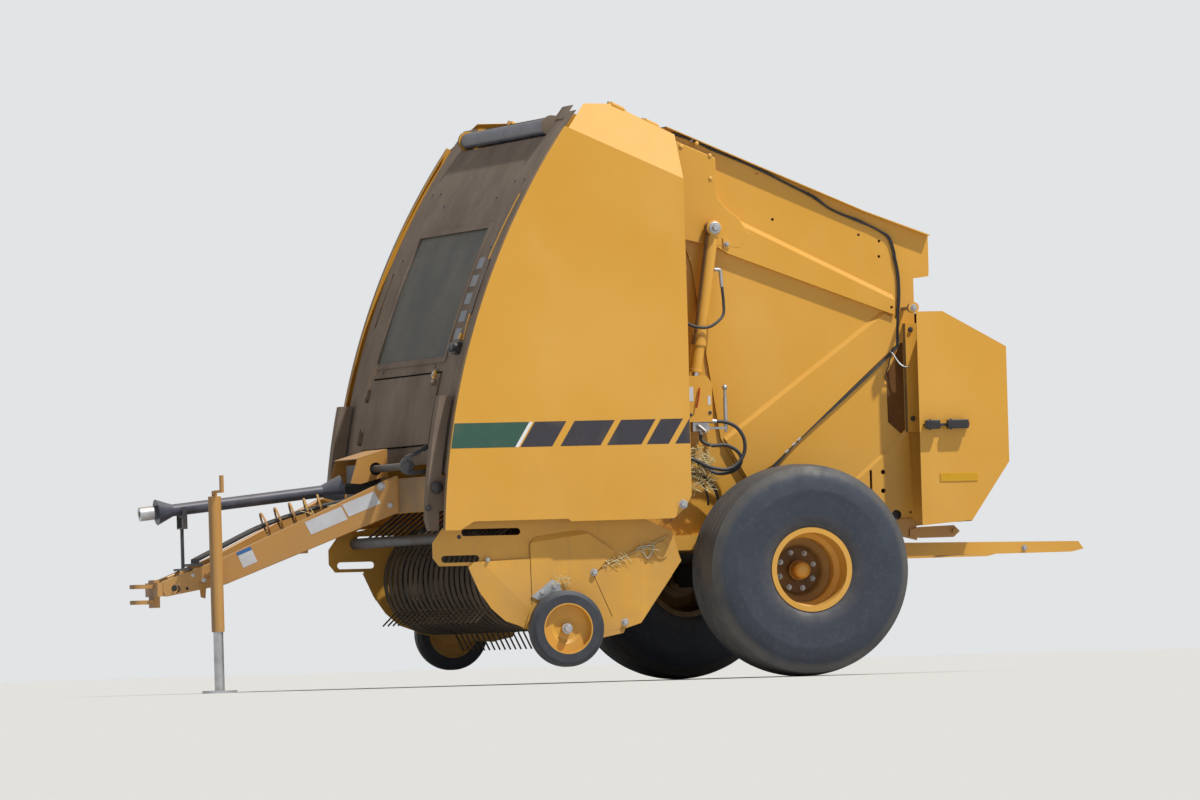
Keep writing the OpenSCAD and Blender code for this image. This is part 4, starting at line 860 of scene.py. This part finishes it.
TUBES = (
    ("barrel_hose", "left_barrel", "hose", 8,
     ((-328, -874, 2160), (-323, -876, 2110), (-320, -884, 2033), (-330, -900, 1966), (-386, -922, 1918),
      (-440, -926, 1899), (-511, -926, 1909), (-560, -922, 1935))),
    ("barrel_fitting", "left_barrel", "zinc", 10,
     ((-364, -873, 2214), (-336, -873, 2212), (-329, -873, 2196), (-325, -875, 2120))),
    ("valve_loop", "frame", "hose", 10,
     ((-392, -904, 1392), (-326, -905, 1384), (-268, -905, 1352), (-232, -905, 1290), (-236, -908, 1215),
      (-285, -911, 1152), (-350, -913, 1130), (-440, -913, 1146), (-520, -910, 1186), (-620, -890, 1214))),
    ("valve_fitting", "frame", "zinc", 12, ((-520, -896, 1394), (-450, -900, 1396), (-388, -904, 1391))),
    ("low_hose", "frame", "hose", 8,
     ((-620, -846, 1140), (-520, -850, 1122), (-430, -850, 1082), (-384, -842, 1020), (-362, -830, 950))),
    ("low_line", "frame", "hose", 6,
     ((-620, -840, 1180), (-540, -852, 1130), (-470, -850, 1070), (-430, -836, 1000), (-420, -822, 940))),
    ("lever", "frame", "red", 4.5, ((-485, -926, 1573), (-494, -932, 1520), (-506, -930, 1466))),
    ("valve_rod", "frame", "zinc", 10.5, ((-326, -880, 1352), (-326, -880, 1440), (-326, -880, 1521))),
    ("net_wire", "tailgate", "hose", 3.5,
     ((684, -806, 1812), (664, -812, 1770), (640, -816, 1690), (618, -812, 1610), (640, -806, 1586))),
    ("plug_wire", "tailgate", "zinc", 4,
     ((640, -808, 1760), (662, -816, 1742), (690, -838, 1690), (716, -850, 1668), (742, -848, 1668))),
    ("cover_hook", "pickup", "zinc", 3,
     ((-900, -1026, 706), (-888, -1031, 719), (-845, -1032, 727), (-802, -1032, 725), (-812, -1031, 693),
      (-839, -1030, 661), (-855, -1029, 678), (-872, -1028, 702), (-850, -1028, 716))),
    ("latch_rod", "frame", "zinc", 7, ((-660, -900, 860), (-646, -960, 905), (-640, -1010, 930))),
)
for name, body, finish, radius, places in TUBES:
    data = bmesh.new()
    tube(data, smooth_path(places), radius)
    finish_mesh(name, data, MAT[finish], body, 50)


# The tailgate's cable as the photograph shows it, as x and z: a hose and a thinner wire tied to it

CABLE = ((-560, 2958), (-450, 2922), (-330, 2866), (-241, 2830), (-76, 2759), (90, 2676), (227, 2606),
         (338, 2533), (477, 2473), (588, 2425), (657, 2377), (685, 2306), (690, 2263), (706, 2179),
         (708, 2051), (696, 1930), (693, 1860), (690, 1800), (660, 1746), (384, 1516), (113, 1286),
         (-38, 1144))
CABLE_R = 6.8
CABLE_GAP = 0.6
WIRE_R = 3
WIRE_SWAY = 4
WIRE_ASIDE = 7
CABLE_Y = -GATE_Y - CABLE_GAP - CABLE_R
WIRE_Y = -GATE_Y - 15
TIE_Y = -GATE_Y - 8
TIE_R = 10
TIE_ENDS = ((-9, -7), (9, 8))
CABLE_TIES = ((-449, 2921), (113, 1286), (83, 1260), (41, 1222))
data = bmesh.new()
tube(data, smooth_path([(x, CABLE_Y, z) for x, z in CABLE], 5), CABLE_R, 10)
wire = [(x + WIRE_ASIDE, WIRE_Y, z + WIRE_SWAY * (-1) ** i) for i, (x, z) in enumerate(CABLE)]
tube(data, smooth_path(wire, 5), WIRE_R, 8)
piece = finish_mesh("gate_cable", data, MAT["hose"], "tailgate", 50)
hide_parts("tailgate_cable")
data = bmesh.new()
for x, z in CABLE_TIES:
    tube(data, [at(x + across, TIE_Y, z + up) for across, up in TIE_ENDS], TIE_R)
finish_mesh("cable_ties", data, MAT["zinc"], "tailgate", 50)


# Lower end of each lift cylinder's barrel, round its closed rod

BARREL_END = (-465.3, 1805.6)
BARREL_DOWN = Vector((-138, 0, -888)).normalized()
SLEEVE = ((21.5, -3), (34, -3), (34, 132), (38, 134), (38, 148), (21.5, 148))
for side, sign in SIDES.items():
    data = bmesh.new()
    end = at(BARREL_END[0], sign * BARREL_Y, BARREL_END[1])
    lathe(data, [(r * MM, a * MM) for r, a in SLEEVE], end, BARREL_DOWN, 40)
    finish_mesh("barrel_sleeve_" + side, data, MAT["bare_paint"], side + "_barrel", 30)


# Lamps and their clamps on the net cover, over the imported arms; a body is its front and rear x

LAMP_BODIES = ((772, 852), (893, 1014))
LAMP_LOW = 1322
LAMP_HIGH = 1371
LAMP_NEAR = NET_Y + 24
LAMP_FAR = NET_Y + 54
CLAMP_FRONT = 16
CLAMP_REAR = 28
CLAMP_PROUD = 5
GLASS_FRONT = 1012
GLASS_REAR = 1016
GLASS_EDGE = 8
for side, sign in SIDES.items():
    near, far = sorted((sign * LAMP_NEAR, sign * LAMP_FAR))
    data = bmesh.new()
    for front, rear in LAMP_BODIES:
        box(data, (front, near, LAMP_LOW), (rear, far, LAMP_HIGH))
        box(data, (front + CLAMP_FRONT, near, LAMP_LOW - CLAMP_PROUD),
            (front + CLAMP_REAR, far, LAMP_HIGH + CLAMP_PROUD))
    bevel(finish_mesh("lamp_body_" + side, data, MAT["black_plastic"], "net_cover"), 7, 3)
    data = bmesh.new()
    box(data, (GLASS_FRONT, near + GLASS_EDGE / 2, LAMP_LOW + GLASS_EDGE),
        (GLASS_REAR, far - GLASS_EDGE / 2, LAMP_HIGH - GLASS_EDGE))
    bevel(finish_mesh("lamp_lens_" + side, data, MAT["red"], "net_cover"), 1)


# The hood's trim

STRIP_STEPS = 10


def front_strip(data, width, lift, thickness, high, low):
    """A strip that follows the curved front between two places in y and z."""
    across = ACROSS * width * MM / 2
    rows = []
    for i in range(STRIP_STEPS + 1):
        u = i / STRIP_STEPS
        y = high[0] + (low[0] - high[0]) * u
        z = high[1] + (low[1] - high[1]) * u
        place, out = on_front(y, z, lift)
        rise = out * thickness * MM
        rows.append([data.verts.new(p) for p in
                     (place - across, place + across, place + across + rise, place - across + rise)])
    for here, there in zip(rows, rows[1:]):
        for k in range(4):
            k2 = (k + 1) % 4
            data.faces.new((here[k], here[k2], there[k2], there[k]))
    data.faces.new(rows[0][::-1])
    data.faces.new(rows[-1])


LABELS = 5
LABEL_TOP = 2306
LABEL_HEIGHT = 60
LABEL_PITCH = 95
LABEL_Y = -762
THIN = 4

# Name, finish, width, lift, thickness, and the upper and lower end as y and z
TRIM = [
    ("slit_edge", "bare_paint", 7, -1, 7, (-928, 2637), (-893, 2291)),
    # The slit is a black film that stands for the slot's dark inside: painted shade
    ("slit", "black_plastic", 18, 0, 0.8, (-896, 2290), (-908, 2002)),
    ("slit_bar", "bare_paint", 10, -1, 8, (-902, 1998), (-916, 1857)),
    ("slit_block", "bare_paint", 26, -1, 15, (-862, 1893), (-862, 1862)),
    ("post_seam", "black_plastic", 4, 0, 0.8, (-894, 1765), (-884, 1150)),
    ("stop_body", "black_plastic", 96, -1, 30, (-868, 1842), (-868, 1782)),
    ("strip_top", "dusty_paint", 190, -1, 5, (-834, 3112), (-834, 3040)),
]
# The strip's labels take the darker label film: partly dust, partly painted shade
for i in range(LABELS):
    top = LABEL_TOP - LABEL_PITCH * i
    ends = ((LABEL_Y - i, top), (LABEL_Y - i, top - LABEL_HEIGHT))
    TRIM.append((f"strip_label_{i}", "dull_label", 112, 0, 0.8, *ends))
for name, finish, width, lift, thickness, high, low in TRIM:
    data = bmesh.new()
    front_strip(data, width, lift, thickness, high, low)
    piece = finish_mesh(name, data, MAT[finish], "frame")
    if thickness > THIN:
        bevel(piece, 2)

HOOD_BOLTS = ((-738, 3052), (-898, 3056), (-700, 2718), (-871, 2720), (-664, 2360), (-835, 2358),
              (-500, 2640), (-500, 1730))
data = bmesh.new()
for y, z in HOOD_BOLTS:
    for mirrored in (y, -y):
        place, out = on_front(mirrored, z, -1)
        round_bolt(data, place, out, 22)
finish_mesh("hood_bolts", data, MAT["dark_steel"], "frame", 35)

KNOBS = ((-896, 1812), (-842, 1812))
KNOB = ((0, 0), (25, 0), (25, 16), (16, 25), (0, 26))
KNOB_LIFT = 28
data = bmesh.new()
for y, z in KNOBS:
    place, out = on_front(y, z, KNOB_LIFT)
    turned(data, KNOB, place, out)
finish_mesh("stop_knobs", data, MAT["black_plastic"], "frame", 30)

LATCH_PLACE = (-560, 1684)
LATCH = (
    ("door_latch", "bare_paint", ((0, -1), (26, -1), (26, 9), (22, 12), (0, 12))),
    ("door_latch_key", "zinc", ((0, 12), (11, 12), (11, 17), (0, 18))),
)
for name, finish, profile in LATCH:
    data = bmesh.new()
    place, out = on_front(*LATCH_PLACE, radius=DOOR_R)
    turned(data, profile, place, out, 30)
    finish_mesh(name, data, MAT[finish], "front_door", 30)


# Blank plates, bolts and holes on the tongue's left beam, which leans outwards to the rear

BEAM_TIP = (-3290, 100)
BEAM_SLOPE = 0.233
BEAM_HALF = 30
TONGUE_LABELS = (
    ("tongue_label_front", "label", ((-2910, 756), (-2835, 787), (-2799, 704), (-2874, 672))),
    ("tongue_label_top", "label_blue", ((-2910, 756), (-2835, 787), (-2827, 769), (-2902, 738))),
    ("tongue_label_middle", "label", ((-2546, 910), (-2351, 988), (-2318, 919), (-2513, 841))),
    ("tongue_label_rear", "label", ((-2346, 998), (-2176, 1066), (-2142, 1000), (-2312, 932))),
)


def beam_face(x, z, lift=0.0):
    """A place on the outer face of the left tongue beam."""
    middle_y = BEAM_TIP[1] + BEAM_SLOPE * (x - BEAM_TIP[0])
    return at(x, -middle_y - BEAM_HALF - lift, z)


TONGUE_BOLTS = ((-2136, 1091, 30), (-2092, 988, 20), (-3084, 612, 18), (-3140, 640, 14))
TONGUE_HOLES = ((-3240, 572, 16), (-3180, 571, 6))
LABEL_LIFT = 0.3
beam_out = Vector((-BEAM_SLOPE, -1, 0)).normalized()
for name, finish, outline in TONGUE_LABELS:
    data = bmesh.new()
    lift = LABEL_LIFT + (FILM if finish == "label_blue" else 0)
    plate(data, [beam_face(x, z, lift) for x, z in outline], beam_out * FILM * MM)
    finish_mesh(name, data, MAT[finish], "frame")
data = bmesh.new()
for x, z, size in TONGUE_BOLTS:
    hex_bolt(data, beam_face(x, z), beam_out, size)
finish_mesh("tongue_bolts", data, MAT["zinc"], "frame", 35)
# The holes are black discs on the beam's face: painted shade of their dark insides
data = bmesh.new()
for x, z, r in TONGUE_HOLES:
    turned(data, [(0, 0), (r, 0), (r, FILM), (0, FILM)], beam_face(x, z), beam_out)
finish_mesh("tongue_holes", data, MAT["black_plastic"], "frame", 35)


# Stripes on the side shields, front to rear, as x of their ends at the top edge

STRIPE_TOP = 1406
STRIPE_LOW = 1272
STRIPE_LEAN = 84
GREEN_REAR = -1508
WHITE_REAR = -1488
BLACK_BARS = ((-1478, -1300), (-1254, -1028), (-992, -798), (-768, -643))
TAIL_FRONT = -607
SHIELD_REAR = -606
FOLD_SKIP = 4


def lean_x(top_x, z):
    """x of a leaning line that passes top_x at the stripe's top edge."""
    return top_x - STRIPE_LEAN * (STRIPE_TOP - z) / (STRIPE_TOP - STRIPE_LOW)


def leaning_bar(front, rear):
    """Outline of a bar between two leaning lines."""
    return [(lean_x(front, STRIPE_LOW), STRIPE_LOW), (lean_x(front, STRIPE_TOP), STRIPE_TOP),
            (lean_x(rear, STRIPE_TOP), STRIPE_TOP), (lean_x(rear, STRIPE_LOW), STRIPE_LOW)]


def stripe(side, finish, outline, place=""):
    """A thin film on the shield; the outline is in x and z."""
    data = bmesh.new()
    side_plate(data, SIDES[side], SHIELD_Y, outline, FILM)
    finish_mesh(f"{finish}{place}_{side}", data, MAT[finish], side + "_shield")


STRIPE_STEPS = 8
heights = [STRIPE_LOW + (STRIPE_TOP - STRIPE_LOW) * i / STRIPE_STEPS for i in range(STRIPE_STEPS + 1)]
green = [(front_x(z, FRONT_R - FOLD_SKIP), z) for z in heights]
green += [(GREEN_REAR, STRIPE_TOP), (lean_x(GREEN_REAR, STRIPE_LOW), STRIPE_LOW)]
tail = [(lean_x(TAIL_FRONT, STRIPE_LOW), STRIPE_LOW), (TAIL_FRONT, STRIPE_TOP),
        (SHIELD_REAR, STRIPE_TOP), (SHIELD_REAR, STRIPE_LOW)]
for side in SIDES:
    stripe(side, "stripe_green", green)
    stripe(side, "stripe_white", leaning_bar(GREEN_REAR, WHITE_REAR))
    for i, (front, rear) in enumerate(BLACK_BARS):
        stripe(side, "stripe_black", leaning_bar(front, rear), f"_{i}")
    stripe(side, "stripe_black", tail, "_tail")


# Loose straws: name, body, thickness, half length, and then boxes as two corners and a count

STRAWS = (
    ("frame_straw", "frame", 1.9, 26,
     (((-580, -915, 1120), (-480, -880, 1250), 46), ((-500, -915, 1110), (-425, -880, 1230), 34),
      ((-560, -905, 1020), (-400, -870, 1120), 44), ((-2560, -300, 925), (-2300, -250, 1000), 8))),
    ("pickup_straw", "pickup", 1.3, 20,
     (((-1090, -1040, 620), (-1000, -1027, 655), 13), ((-1000, -1040, 655), (-900, -1027, 700), 9),
      ((-900, -1042, 690), (-800, -1027, 750), 16), ((-1380, -1048, 525), (-1290, -1034, 585), 15))),
)
rng = random.Random(11)
for name, body, thick, reach, boxes in STRAWS:
    data = bmesh.new()
    for low, high, count in boxes:
        for _ in range(count):
            centre = Vector([rng.uniform(a, b) for a, b in zip(low, high)])
            turn = rng.uniform(-1.2, 1.2)
            along = Vector((math.cos(turn), 0.1 * rng.uniform(-1, 1), math.sin(turn)))
            along *= reach * rng.uniform(0.5, 1.8)
            bow = Vector((0, 0, rng.uniform(-0.2, 0.2) * reach))
            tube(data, [at(*p) for p in (centre - along, centre + bow, centre + along)],
                 thick * rng.uniform(0.6, 1.2), 4)
    finish_mesh(name, data, MAT["straw"], body)


# Stage, light and camera

FLOOR_HALF = 400.0
FLOOR_CORNERS = ((-1, -1), (1, -1), (1, 1), (-1, 1))
SUN_FROM = Vector((0.33, -0.36, 0.87))
SUN_WIDTH = math.radians(1.5)
SUN_STRENGTH = 3.9
SUN_COLOUR = (1.0, 0.985, 0.96)
SKY_STRENGTH = 0.3
SKY_LIGHT = (0.93, 0.97, 1.0, 1.0)
SKY_SEEN = (*linear(226, 228, 230), 1.0)


def make_floor():
    """Wide pale floor."""
    data = bmesh.new()
    data.faces.new([data.verts.new((x * FLOOR_HALF, y * FLOOR_HALF, 0)) for x, y in FLOOR_CORNERS])
    mesh = bpy.data.meshes.new("floor")
    data.to_mesh(mesh)
    data.free()
    floor = bpy.data.objects.new("floor", mesh)
    bpy.context.scene.collection.objects.link(floor)
    s = Shader(roughness=0.9, specular=0.1)
    s.material.name = "floor"
    s.colour(s.mix(s.noise(0.6, 4.0), linear(196, 195, 192), linear(197, 196, 193)))
    mesh.materials.append(s.material)


def make_light():
    """A high sun from the left rear, and a sky that is seen paler than it lights."""
    sun = bpy.data.lights.new("sun", "SUN")
    sun.energy = SUN_STRENGTH
    sun.angle = SUN_WIDTH
    sun.color = SUN_COLOUR
    lamp = bpy.data.objects.new("sun", sun)
    lamp.rotation_euler = SUN_FROM.to_track_quat("Z", "Y").to_euler()
    bpy.context.scene.collection.objects.link(lamp)

    world = bpy.data.worlds.new("sky")
    bpy.context.scene.world = world
    world.use_nodes = True
    tree = world.node_tree
    even = tree.nodes["Background"]
    even.inputs["Color"].default_value = SKY_LIGHT
    even.inputs["Strength"].default_value = SKY_STRENGTH
    seen = tree.nodes.new("ShaderNodeBackground")
    seen.inputs["Color"].default_value = SKY_SEEN
    seen.inputs["Strength"].default_value = 1.0
    rays = tree.nodes.new("ShaderNodeLightPath")
    pick = tree.nodes.new("ShaderNodeMixShader")
    seen_by = rays.outputs["Is Camera Ray"]
    for kind in ("Is Glossy Ray", "Is Transmission Ray"):
        either = tree.nodes.new("ShaderNodeMath")
        either.operation = "ADD"
        either.use_clamp = True
        tree.links.new(seen_by, either.inputs[0])
        tree.links.new(rays.outputs[kind], either.inputs[1])
        seen_by = either.outputs["Value"]
    tree.links.new(seen_by, pick.inputs["Fac"])
    tree.links.new(even.outputs["Background"], pick.inputs[1])
    tree.links.new(seen.outputs["Background"], pick.inputs[2])
    tree.links.new(pick.outputs["Shader"], tree.nodes["World Output"].inputs["Surface"])


VIEW_TURN = math.radians(17.5)
VIEW_RISE = math.radians(1.4)
VIEW_ROLL = math.radians(1.65)
LENS = 322.42
CAMERA_PLACE = Vector((-17.6177, -56.1360, 0.1049))


def make_camera():
    """The photograph's view: a long lens near the floor, from ahead of the left-hand side."""
    right = Vector((math.cos(VIEW_TURN), -math.sin(VIEW_TURN), 0))
    level = Vector((math.sin(VIEW_TURN), math.cos(VIEW_TURN), 0))
    ahead = level * math.cos(VIEW_RISE) + Vector((0, 0, math.sin(VIEW_RISE)))
    up = right.cross(ahead)
    across = right * math.cos(VIEW_ROLL) - up * math.sin(VIEW_ROLL)
    upward = right * math.sin(VIEW_ROLL) + up * math.cos(VIEW_ROLL)
    data = bpy.data.cameras.new("camera")
    data.lens = LENS
    data.sensor_width = 36
    data.sensor_fit = "HORIZONTAL"
    data.clip_start = 0.5
    data.clip_end = 2000
    camera = bpy.data.objects.new("camera", data)
    bpy.context.scene.collection.objects.link(camera)
    turn = Matrix((across, upward, -ahead)).transposed().to_4x4()
    camera.matrix_world = Matrix.Translation(CAMERA_PLACE) @ turn
    bpy.context.scene.camera = camera


make_floor()
make_light()
make_camera()
bpy.context.scene.view_settings.view_transform = "Standard"
